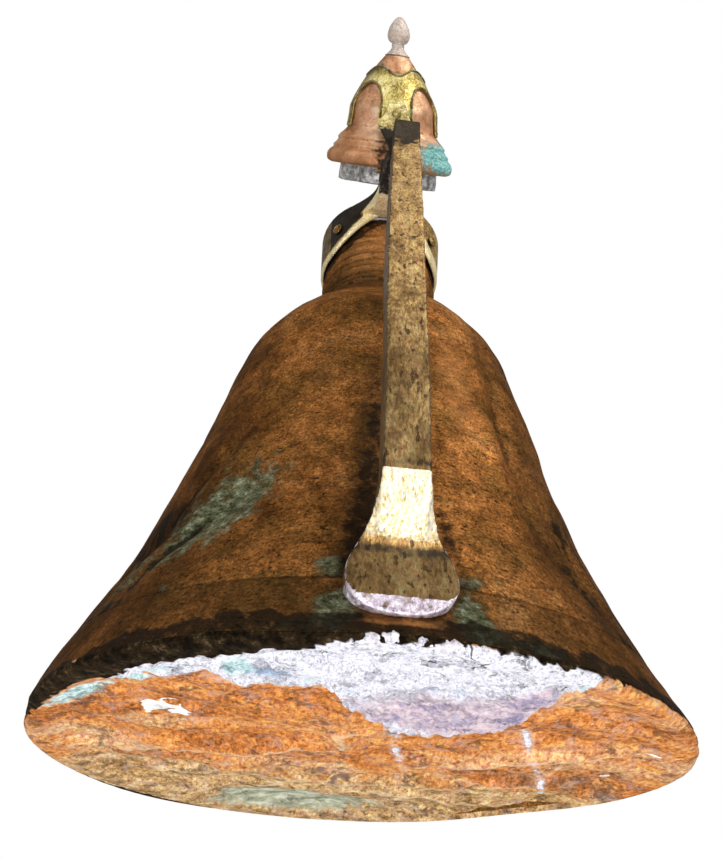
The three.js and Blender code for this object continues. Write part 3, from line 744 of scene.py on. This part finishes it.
# Stains of the body, as rows for patches(); the dark patches beside the handle and round its foot are painted
# shadow, and the shade rows are painted shade.
BODY_GREEN = [
    (1.2, 37, 46, 27, 17, -46), (0.5, 56, 26, 22, 9, -30), (0.8, 10.5, 20, 5, 5), (0.5, -10, 19, 4, 4),
    (0.3, 120, 70, 24, 16, 20), (0.3, 30, 120, 10, 16),
]
BODY_DIRT_AND_SHADOW = [
    (1.0, 60, 53, 9, 7), (0.95, 5, 56, 7, 80), (0.55, -7.5, 34, 3, 12), (0.6, 8, 28, 6, 18),
    (0.7, 66, 44, 14, 6, 30), (0.6, -34, 92, 2.8, 50, 4), (0.6, 54, 46, 3, 40, 24),
    (0.6, 46, 34, 2.5, 30, 34), (0.6, -38, 34, 3, 34, -20), (0.5, -9, 30, 3, 16),
    (0.5, 44, 36, 30, 2.5, -28), (0.55, -50, 40, 3, 44, -8), (0.5, -44, 50, 2.5, 40, -4),
    (0.35, 52, 48, 8, 30, 10), (0.5, 44, 38, 12, 2, -46), (0.45, 33, 60, 14, 2, -30),
]
BODY_SHADE = [(0.6, 5, 140, 8, 34), (0.5, -33, 90, 7, 60, 3), (0.9, 7, 60, 7, 70)]
BODY_WORN = [
    (0.8, -19, 100, 12, 42), (0.5, 20, 100, 13, 30), (0.3, -18, 50, 12, 14), (0.5, 180, 110, 40, 40),
    (0.3, -66, 60, 5, 60), (0.3, 70, 40, 5, 40),
]
# Bright scratches in the large dent: a line of (turn, height), its width and strength, and the seed and size
# of the noise that it wanders by.
SCRATCHES = [([(31, 58), (37, 48), (46, 36)], 0.5, 0.9, 8.1, 6),
             ([(34, 47), (39, 44), (44, 38)], 0.45, 0.7, 3.1, 5)]


def make_body():
    grid = turned(shell(body_line, SHEET))
    push = rough(grid, 34, 0.9, 1.7) + rough(grid * [1, 1, 0.5], 12, 0.25, 6.1)
    for turn, height, across, tall, lean, depth in BODY_DENTS:
        push -= depth * patch(grid, turn, height, across, tall, lean)
    heights = grid[..., 2]
    held = np.clip((heights - PAN_TOP_Z - 0.3) / 12, 0, 1) * np.clip((183 - heights) / 12, 0, 1)
    grid += outward_of(grid) * (push * held)[..., None]
    body = grid_piece("pot_body", grid)
    turns, heights = turn_and_height(grid)
    slanted = [turns / 1.6, 0 * turns, (heights + 0.5 * np.abs(turns)) / 22]
    streaks = ramp(rough(np.stack(slanted, -1), 1, 1, 4.9), 0.02, 0.26)
    to_the_sides = (ramp(turns, 36, 48) + ramp(turns, -33, -42)) * ramp(np.abs(turns), 90, 75)
    left_edge = ramp(turns, 22, 58)
    right_edge = ramp(turns, -26, -48)
    scratched = 0
    for line, width, strength, seed, size in SCRATCHES:
        wandering = np.stack([turns + rough(grid, size, 2.5, seed), heights], -1)
        scratched = scratched + strength * line_mask(wandering, line, width)
    paint(body,
          verdigris=patches(grid, BODY_GREEN) + 0.3 * ramp(heights, 28, 18) * (np.abs(turns) < 40),
          # dark streaks on the lower sides, dirt, painted shadow beside the handle and round its foot,
          # painted shade where the shoulder meets the neck, and darker just above the pan
          grime=(0.62 * streaks * ramp(heights, 72, 48) * to_the_sides + patches(grid, BODY_DIRT_AND_SHADOW)
                 + 0.45 * ramp(heights, 160, 180) + 0.35 * ramp(heights, 24, 17.5) * (np.abs(turns) < 75)),
          # painted shade: the patches, the shoulder, the lower body, both silhouettes and the -X side
          shade=(patches(grid, BODY_SHADE)
                 + 0.75 * ramp(heights, 148, 168) * (0.6 + 0.4 * ramp(turns, -10, 5))
                 + 0.8 * ramp(heights, 70, 22) * (0.4 + 0.6 * np.maximum(left_edge, right_edge))
                 + 0.62 * left_edge + right_edge * (0.6 + 0.4 * ramp(heights, 120, 60))
                 + 0.3 * ramp(turns, -8, -26) * ramp(heights, 70, 20)
                 + 0.25 * ramp(turns, -14, -30) * ramp(heights, 100, 150)),
          worn=patches(grid, BODY_WORN) + scratched)
    return body


# ---------------------------------------------------------------- neck
NECK_WINDOW_MIDDLE = (0, -25, 200)      # the spout pours through it
NECK_WINDOW_SIZE = (17, 12, 17)


def collar_edge(turns):
    """The height of the collar's wavy lower edge, which is highest at the handle."""
    return 227.5 - 17.5 * np.sin(np.clip(np.abs(turns) / 70, 0, 1) * np.pi / 2) ** 1.5


def make_neck():
    outer = curve([[25.2, 184.3], [26, 186.4], [25.1, 188.6], [24.9, 192], [25.6, 194], [24.8, 195.8],
                   [24.9, 199.5], [25.7, 201.2], [25, 203], [24.8, 206], [25.3, 207.5], [24.3, 208.8],
                   [24.2, 212], [24.7, 213.4], [24.1, 215], [24.2, 219], [24.6, 220.4], [24.1, 222],
                   [24.1, 226]], 0.45)
    bore = straight([[22.8, 226], [22.8, 184.3]], 1.0)
    grid = turned(np.vstack([outer, bore]), 220)
    grid += outward_of(grid) * rough(grid * [1, 1, 2], 9, 0.12, 7.3)[..., None]
    neck = grid_piece("neck_tube", grid)
    cut_window(neck, NECK_WINDOW_MIDDLE, NECK_WINDOW_SIZE)
    points = vertices(neck)
    turns, heights = turn_and_height(points)
    rings = np.abs(((heights - 184) / 4.2) % 1 - 0.5) < 0.13
    below_collar = heights - collar_edge(turns)
    # dark in the grooves between the rings; painted shadow just under the collar's edge; painted shade where
    # the neck meets the body and towards the sides
    paint(neck,
          verdigris=0.1,
          grime=0.3 * rings + 1.1 * ramp(below_collar, -6.5, -3) + 0.45 * ramp(heights, 188, 185),
          shade=0.7 * ramp(heights, 198, 187) + 0.4 * ramp(np.abs(turns), 30, 70),
          worn=0.35 + patches(points, [(0.5, 18, 208, 12, 12), (0.4, -30, 206, 8, 9)]) + 0.3 * ~rings)
    return neck


# ---------------------------------------------------------------- handle, collar, spout
SHANK_R = 1.1                   # the shank of every rivet
SHANK_LENGTH = 2.2
FACET_LOW_Z = 23.6              # the facet above the foot, on the handle's back, which gets a painted highlight
FACET_TOP_Z = 39.2
BAR_MIDDLE_X = 1.4


def make_handle():
    handle = cast_from("handle", "handle_bar", 0.55, 3)
    points = vertices(handle)
    normals = vertex_normals(handle)
    bumps = rough(points, 7, 0.16, 3.3) + rough(points, 1.8, 0.05, 1.2)
    move_vertices(handle, points + normals * bumps[:, None])
    heights = points[:, 2]
    sideways = np.abs(normals[:, 0])
    beside = np.abs(points[:, 0] - BAR_MIDDLE_X)
    widening = (FACET_TOP_Z - heights) * 0.26
    # painted highlight on the facet above the foot
    on_facet = ramp(beside, 10.6 + widening, 9.4 + widening) * (normals[:, 1] > 0.3)
    facet = (on_facet * ramp(heights, FACET_LOW_Z, FACET_LOW_Z + 1)
             * ramp(heights, FACET_TOP_Z + 0.4, FACET_TOP_Z - 0.4))
    lip = (normals[:, 2] < -0.15) & (heights < 12.5)
    # painted highlight along the rims of the foot
    lit_outline = (heights < 23) & (normals[:, 1] > 0.15) & (normals[:, 1] < 0.8)
    # painted shade on the bar's top, where it bends over towards the pot
    shaded_cap = 1.2 * ramp(heights + rough(points, 4, 9, 2.4), 212, 236)
    dark_lines = 0.6 * np.exp(-((heights - 21.5) / 2.4) ** 2) + 0.5 * np.exp(-((heights - 41) / 1.4) ** 2)
    # Polish and painted highlights on the facet, the foot's rims and the upper bar, which is painted lighter;
    # the frost on the rims is partly painted highlight. Painted shade on the foot, the lower bar and the
    # sides; near black, as painted shade, on the cap, the faces towards the pot and the edges of the sides.
    paint(handle,
          polished=(facet * (0.5 + 0.9 * ramp(heights, 25, 29)) + 0.42 * lit_outline
                    + 0.3 * ramp(heights, 130, 190)),
          lilac=0.7 * lip + 0.5 * lit_outline,
          verdigris=0.5 * ramp(heights, 12, 6) * (beside > 8),
          shade=(ramp(heights, 25, 21) + 0.8 * ramp(heights, 165, 44) * (heights > 39)
                 + 0.5 * (sideways > 0.7) + 1.2 * (normals[:, 0] > 0.7)),
          grime=(shaded_cap + dark_lines + 0.5 * (normals[:, 1] < -0.6)
                 + 0.5 * (sideways > 0.5) * (sideways < 0.85)))
    return handle


def make_collar():
    collar = cast_from("mouth_collar", "mouth_collar_cast", 0.42, 4)
    points = vertices(collar)
    turns, heights = turn_and_height(points)
    above_edge = heights - collar_edge(turns)
    # how high above the lower edge the painted highlight reaches: more near the handle and on the -X side
    band = 2.4 + 4 * np.exp(-(turns / 30) ** 2) + 3.6 * ramp(turns, -14, -34)
    outside = radius_of(points) > 25.8
    arm_end = ramp(points[:, 1], 37, 40.5)
    ears = ramp(heights, 228.5, 231) * (points[:, 1] > 31)
    left = ramp(turns, -26, -10)
    blackened = ramp(above_edge, band, band + 1.6) * (turns > -20) * (turns < 62)
    # Polish and painted highlight along the lower edge, with frost at the very edge that is partly painted
    # highlight; painted shade above the band, stronger towards +X, and at the edge; blackened above the band;
    # the inside, the ears and the arm's end by the bar near black as painted shadow.
    paint(collar,
          polished=0.85 * ramp(above_edge, band + 1, band - 1) * outside * (1 - arm_end),
          verdigris=0,
          lilac=0.35 * ramp(above_edge, 1.2, 0) * outside,
          shade=(0.8 * ramp(above_edge, band - 1, band + 2) * (0.3 + 0.7 * left)
                 + 0.45 * ramp(above_edge, 1.4, 0) + 0.6 * arm_end),
          grime=blackened + 0.6 * ~outside + 1.2 * np.maximum(ears, arm_end))
    return collar


def make_spout():
    spout = cast_from("spout", "spout_beak", 0.5, 4)
    points = vertices(spout)
    heights = points[:, 2]
    paint(spout,
          polished=0.3 * np.clip((heights - 232) / 6, 0, 1),
          verdigris=0.4 * np.clip((190 - heights) / 8, 0, 1),
          lilac=0,
          shade=0.5 * ramp(heights, 230, 190),
          grime=0.6 * ramp(points[:, 1], -36, -29))
    return spout


def dome_button(name, radius, height, matrix):
    """A domed rivet head on its shank."""
    arc = [[radius * math.cos(t), height * math.sin(t)] for t in np.linspace(0, math.pi / 2, 12)]
    shank = [[0, -SHANK_LENGTH], [SHANK_R, -SHANK_LENGTH], [SHANK_R, -0.05]]
    profile = np.array([*shank, [radius * 0.96, -0.1], *arc])
    head = grid_piece(name, turned(profile, 36), closed=False)
    points = vertices(head)
    move_vertices(head, points * (1 + rough(points, 1.6, 0.05, 2.0))[:, None])
    head.data.transform(matrix)
    share_up = np.clip(points[:, 2] / height, 0, 1)
    paint(head, polished=share_up * 0.4, verdigris=0, lilac=0, shade=0.5,
          grime=np.clip(1 - points[:, 2] / (0.4 * height), 0, 1) * 0.8)
    return head


# ---------------------------------------------------------------- lid, built closed and then opened
dome_line = curve([[28.4, 0.3], [30.5, 1.4], [31, 3.9], [30.1, 6.0], [28.3, 7.6], [28.4, 8.6], [27.2, 10],
                   [26.1, 11.4], [26.3, 12.4], [25, 14], [22.6, 16.2], [21.1, 18.6], [20.5, 22.2], [20.0, 27],
                   [18.1, 31.8], [15.4, 36.6], [12.6, 41.2], [9.0, 46.4], [5.8, 50.3]], 0.45)


DOME_GROOVES = [(7.9, 0.7), (11.6, 0.6), (18, 1.2)]     # height and width of the dark lines of the moulding


def closed_lid_points(piece):
    """The points of a piece of the opened lid, as they stand when the lid is closed."""
    back = np.array(lid_matrix.inverted())
    return vertices(piece) @ back[:3, :3].T + back[:3, 3] / MM


def lean(points):
    """Makes the dome lean a little to one side, as it does in the CAD."""
    points[..., 0] += 0.07 * np.maximum(0, points[..., 2] - 8)
    return points


def on_dome(turn, height, proud=0.0):
    """A point on the lid's outside, at a turn in degrees and a height above its seat."""
    upper = dome_line[len(dome_line) // 3:]
    radius = np.interp(height, upper[:, 1], upper[:, 0]) + proud
    angle = np.radians(turn)
    level = np.asarray(height) + 0 * angle
    return lean(np.stack([radius * np.sin(angle), radius * np.cos(angle), level], -1))


def make_dome():
    grid = turned(shell(dome_line, 1.3), 240)
    grid += outward_of(grid) * rough(grid, 8, 0.25, 5.5)[..., None]
    dome = grid_piece("lid_dome_spun", lean(grid))
    turns, heights = turn_and_height(grid)
    moulding = sum(np.exp(-((heights - middle) / width) ** 2) for middle, width in DOME_GROOVES)
    # painted shadow on the flange beside the hinge leaf
    darkening = 0.8 * patch(grid, 11, 6, 4.5, 14) * (heights < 20)
    paint(dome,
          verdigris=1.5 * patch(grid, -58, 7.5, 24, 9) * (heights < 17) + 0.3 * patch(grid, 100, 4, 14, 4),
          grime=0.5 * moulding + 0.4 * ramp(heights, 49, 50.5) + darkening,
          shade=0.25 * ramp(heights, 30, 40) + 0.3 * ramp(np.abs(turns), 50, 80),
          worn=0.5 + 0.4 * ramp(heights, 16, 10))
    return dome


def make_overlay():
    overlay = cast_from("lid_overlay", "lid_overlay_cast", 0.34, 4)
    points = closed_lid_points(overlay)
    turns, heights = turn_and_height(points)
    paint(overlay,
          polished=0.35,
          lilac=0.2,
          verdigris=0.3 * patch(points, -70, 20, 10, 6),
          shade=0.6 * ramp(heights, 38, 44) + 0.5 * ramp(np.abs(turns), 50, 75),
          grime=0.25 * ramp(heights, 22, 18))
    return overlay


def make_borders():
    """Raised borders round the four arched windows and along the scalloped top edge."""
    beads = []
    half_turn = 25.5
    arch = np.linspace(0, math.pi, 40)
    heights = [18.6, 23, *(28 + 9.6 * np.sin(arch)), 23, 18.6]
    for quarter in range(4):
        middle = 45 + 90 * quarter
        left, right = middle - half_turn, middle + half_turn
        turns = [left, left, *(middle - half_turn * np.cos(arch)), right, right]
        path = curve(np.stack([turns, heights], -1), 1.2)
        beads.append(tube(f"bead_{quarter}", on_dome(path[:, 0], path[:, 1], 1.35), 0.5))
    rim_turns = np.linspace(0, 360, 240, endpoint=False)
    rim_heights = 44.6 - 3.6 * np.abs(np.cos(np.radians(rim_turns * 2))) ** 3
    beads.append(tube("bead_rim", on_dome(rim_turns, rim_heights, 1.2), 0.45, round_path=True))
    borders = join(beads, "overlay_borders")
    borders.data.transform(lid_matrix)
    paint(borders, polished=0, verdigris=0, lilac=0.35, shade=0.75, grime=0.40)
    return borders


def make_skirt():
    profile = [[23, -6.8], [23.6, -7.1], [24.2, -6.7], [24.3, -3], [24, 0.5], [24.3, 4], [24.3, 9], [23, 9],
               [22.9, 0]]
    grid = turned(straight(profile, 0.8), 200)
    grid += outward_of(grid) * rough(grid, 7, 0.3, 2.9)[..., None]
    grid[..., 2] += rough(grid, 12, 0.3, 6.6) * (grid[..., 2] < -3)
    skirt = grid_piece("lid_skirt_tinned", grid)
    skirt.data.transform(lid_matrix)
    return skirt


def make_finial():
    profile = curve([[0, 48.2], [2.2, 48.6], [2.3, 50.4], [5.7, 50.6], [5.2, 51.3], [3.6, 52.9],
                     [2.9, 54.4], [3.1, 55.2], [2.9, 55.8], [4.4, 56.8], [5.2, 58.8], [5.0, 60.8],
                     [4.1, 63.2], [2.5, 65.6], [1.2, 66.8], [0, 67.1]], 0.3)
    grid = turned(profile, 64)
    grid += grid * [1, 1, 0] * rough(grid, 4, 0.05, 4.1)[..., None]
    finial = grid_piece("lid_finial_drop", lean(grid), closed=False)
    finial.data.transform(lid_matrix)
    return finial


def make_leaf():
    leaf = cast_from("lid_hinge_leaf", "lid_hinge_leaf_cast", 0.34, 3)
    points = closed_lid_points(leaf)
    heights = points[:, 2]
    # polish and painted highlight on the upper leaf; painted shade and painted shadow on the lower leaf, by
    # the hinge
    paint(leaf, polished=0.42 * (heights > 17), verdigris=0, lilac=0,
          shade=0.7 * ramp(heights, 21, 15), grime=1.2 * ramp(heights, 20.5, 15.5))
    return leaf


# ---------------------------------------------------------------- tin ridge along the repair
def make_tin_ridge():
    """A crumbly bead of tin along the rim at the handle side."""
    turns = np.linspace(-24, 19, 420)
    middle_turn = -2.5
    bead_turn = 3.8                 # one larger lump, close to the handle
    ring = np.linspace(0, 2 * np.pi, 20, endpoint=False)
    ends = (np.clip((1 - np.abs(turns - middle_turn) / 21.5) * 4, 0.02, 1) ** 0.6)[:, None]
    edge = np.minimum(np.interp(turns, *np.array(RIM_DARK).T), 93.4) - 0.6
    wander = rough(np.stack([turns, 0 * turns, 0 * turns], -1), 5, 1.4, 2.2)
    core_r = (edge + wander)[:, None]
    core_z = 1.3

    def round_the_pot(radius, height):
        angle = np.radians(turns)[:, None]
        return np.stack([radius * np.sin(angle), radius * np.cos(angle), height + 0 * radius], -1)

    centre = round_the_pot(core_r + 0 * ring, core_z)
    grid = round_the_pot(core_r + 1.7 * ends * np.cos(ring), core_z + 0.9 * ends * np.sin(ring))
    lumps = 1 + rough(grid, 3.0, 0.9, 1.5) + rough(grid, 1.1, 0.3, 7.7, 2)
    bead = 0.9 * np.exp(-((turns - bead_turn) / 1.3) ** 2)[:, None]
    grid = centre + (grid - centre) * (lumps + bead).clip(0.15, 2.4)[..., None]
    grid[..., 2] = np.maximum(grid[..., 2], 0.02)
    first, last = (np.stack([section.mean(0)] * len(ring))[None] for section in (grid[0], grid[-1]))
    return grid_piece("tin_ridge", np.concatenate([first, grid, last]), closed=False)


# ---------------------------------------------------------------- build everything
copper = body_copper("aged_copper", [(0.32, (0.10, 0.042, 0.012)), (0.45, (0.24, 0.105, 0.030)),
                                     (0.56, (0.38, 0.165, 0.050)), (0.70, (0.48, 0.24, 0.090))])
lid_copper = body_copper("lid_copper", [(0.32, (0.40, 0.20, 0.11)), (0.45, (0.62, 0.33, 0.19)),
                                        (0.56, (0.76, 0.48, 0.31)), (0.70, (0.88, 0.68, 0.52))],
                         contrast=0.4, size=0.5, patina=TURQUOISE, home=lid_matrix.inverted())
aged_brass = brass("aged_brass", (0.16, 0.080, 0.022), (0.43, 0.25, 0.085), (0.66, 0.44, 0.18))
# a lighter copy of the aged brass, so that the top of the bar reads as lit; the handle paints shade on its
# lower part
lit_handle_brass = brass("lit_handle_brass", (0.22, 0.12, 0.038), (0.56, 0.36, 0.14), (0.80, 0.58, 0.27),
                     specks=0.6, tall=0.38)
collar_brass = brass("collar_brass", (0.16, 0.08, 0.018), (0.42, 0.26, 0.075), (0.66, 0.48, 0.19),
                     gleam=(1.0, 0.88, 0.58))
pale_brass = brass("pale_brass", (0.34, 0.26, 0.075), (0.66, 0.56, 0.20), (0.86, 0.80, 0.46),
                   pitting=0.3, specks=0.5)
tin = tin_metal("tin", (0.03, 0.03, 0.035), (0.50, 0.48, 0.56), (0.92, 0.92, 0.96), (0.62, 0.55, 0.62), 0.3)
skirt_tin = tin_metal("skirt_tin", (0.06, 0.06, 0.06), (0.42, 0.40, 0.39), (0.95, 0.94, 0.93),
                      (0.10, 0.08, 0.07), 0.85, 3.2)
finial_grey = tin_metal("finial_grey", (0.26, 0.20, 0.16), (0.52, 0.44, 0.38), (0.70, 0.63, 0.57),
                        (0.50, 0.34, 0.28), 0.3)

base, is_wall = make_base()
dress(base, base_copper(), "pot", "base_copper", "base_pan")
base.data.materials.append(copper)
base.data.polygons.foreach_set("material_index", is_wall.astype(np.int32))
dress(make_tin_ridge(), tin, "pot", "tin")
dress(make_body(), copper, "pot", "body_copper", "body_shell")
dress(make_neck(), copper, "pot", "body_copper", "neck_sleeve")
dress(make_handle(), lit_handle_brass, "pot", "aged_brass", "handle")
dress(make_collar(), collar_brass, "pot", "aged_brass", "mouth_collar")
dress(make_spout(), aged_brass, "pot", "aged_brass", "spout")

COLLAR_OUTSIDE = 28.45          # from the pot's axis to the seat of a collar rivet
LEAF_RIVET_PLACE = (1.15, 24.9, 24.5)

for side in ("left", "right"):
    low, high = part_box(f"collar_rivet_{side}")
    middle = (low + high) / 2
    outward = Vector((middle.x, middle.y, 0)).normalized()
    place = Matrix.Translation(outward * COLLAR_OUTSIDE * MM + Vector((0, 0, middle.z)))
    facing = outward.to_track_quat("Z", "Y").to_matrix().to_4x4()
    head = dome_button(f"collar_rivet_head_{side}", 2.6, 1.5, place @ facing)
    dress(head, collar_brass, "pot", "aged_brass", f"collar_rivet_{side}")

leaf_place = (lid_matrix @ Matrix.Translation(Vector(LEAF_RIVET_PLACE) * MM)
              @ Matrix.Rotation(-math.pi / 2, 4, "X"))
dress(dome_button("leaf_rivet_head", 2.1, 1.3, leaf_place), pale_brass, "lid", "lid_brass", "leaf_rivet")

dome = make_dome()
dome.data.transform(lid_matrix)
dress(dome, lid_copper, "lid", "lid_copper", "lid_dome")
dress(make_overlay(), pale_brass, "lid", "lid_brass", "lid_overlay")
dress(make_borders(), pale_brass, "lid", "lid_brass")
dress(make_leaf(), pale_brass, "lid", "lid_brass", "lid_hinge_leaf")
dress(make_skirt(), skirt_tin, "lid", "tin", "lid_skirt")
dress(make_finial(), finial_grey, "lid", "finial_metal", "lid_finial")

CARRIED_OVER = {"base_solder": tin, "neck_solder": tin, "collar_solder": tin, "skirt_solder": tin,
                "hinge_pin": aged_brass, "finial_washer": aged_brass}
for name, material in CARRIED_OVER.items():
    node = frame["nodes"][name]
    node.data.materials.clear()
    node.data.materials.append(material)


# ---------------------------------------------------------------- stage
def stage():
    floor_mesh = bpy.data.meshes.new("floor")
    half, level = 3.0, -0.42
    corners = [(x * half, y * half, level) for x, y in ((-1, -1), (1, -1), (1, 1), (-1, 1))]
    floor_mesh.from_pydata(corners, [], [(0, 1, 2, 3)])
    floor = in_scene("floor", floor_mesh)
    f = Finish("floor_paint")
    pale = f.colours(f.grain(400), (0.3, (0.86, 0.86, 0.85)), (0.7, (0.9, 0.9, 0.89)))
    floor.data.materials.append(f.finish(pale, 0.8, 0.0))


def soft_light(name, place, target, width, watts, colour=(1, 1, 1)):
    light = bpy.data.lights.new(name, "AREA")
    light.shape = "DISK"
    light.size = width
    light.energy = watts
    light.color = colour
    lamp = in_scene(name, light)
    lamp.location = place
    lamp.rotation_euler = (Vector(target) - Vector(place)).to_track_quat("-Z", "Y").to_euler()


def studio():
    soft_light("key", (-0.50, 0.72, 0.62), (0, 0, 0.14), 0.4, 6.0, (1, 0.97, 0.93))
    soft_light("under", (0.02, 0.14, -0.40), (0, 0, 0), 0.5, 3.7)
    soft_light("fill", (0.5, 0.75, 0.3), (0, 0, 0.14), 0.5, 2.2, (1, 0.98, 0.95))
    world = bpy.data.worlds.new("studio")
    bpy.context.scene.world = world
    world.use_nodes = True
    nodes, links = world.node_tree.nodes, world.node_tree.links
    seen = nodes.new("ShaderNodeBackground")
    seen.inputs["Color"].default_value = (1, 1, 1, 1)
    lit = nodes["Background"]
    lit.inputs["Color"].default_value = (1, 1, 1, 1)
    lit.inputs["Strength"].default_value = 0.42
    which = nodes.new("ShaderNodeMixShader")
    path = nodes.new("ShaderNodeLightPath")
    links.new(path.outputs["Is Camera Ray"], which.inputs[0])
    links.new(lit.outputs[0], which.inputs[1])
    links.new(seen.outputs[0], which.inputs[2])
    links.new(which.outputs[0], nodes["World Output"].inputs["Surface"])
    bpy.context.scene.view_settings.view_transform = "Standard"


def camera():
    """Behind the handle, close to it and lower than the base, looking up."""
    place = Vector((24.2, 236.6, -55.9)) * MM
    forward = Vector((-0.068, -0.794, 0.604)).normalized()
    roll = math.radians(3.54)
    lens_mm = 31.4
    level = forward.cross(Vector((0, 0, 1))).normalized()
    above = level.cross(forward)
    right = math.cos(roll) * level + math.sin(roll) * above
    up = -math.sin(roll) * level + math.cos(roll) * above
    data = bpy.data.cameras.new("photo_camera")
    data.lens = lens_mm
    data.sensor_width = 36
    data.clip_start = 0.01
    seen_from = in_scene("photo_camera", data)
    seen_from.matrix_world = Matrix.Translation(place) @ Matrix((right, up, -forward)).transposed().to_4x4()
    bpy.context.scene.camera = seen_from


stage()
studio()
camera()
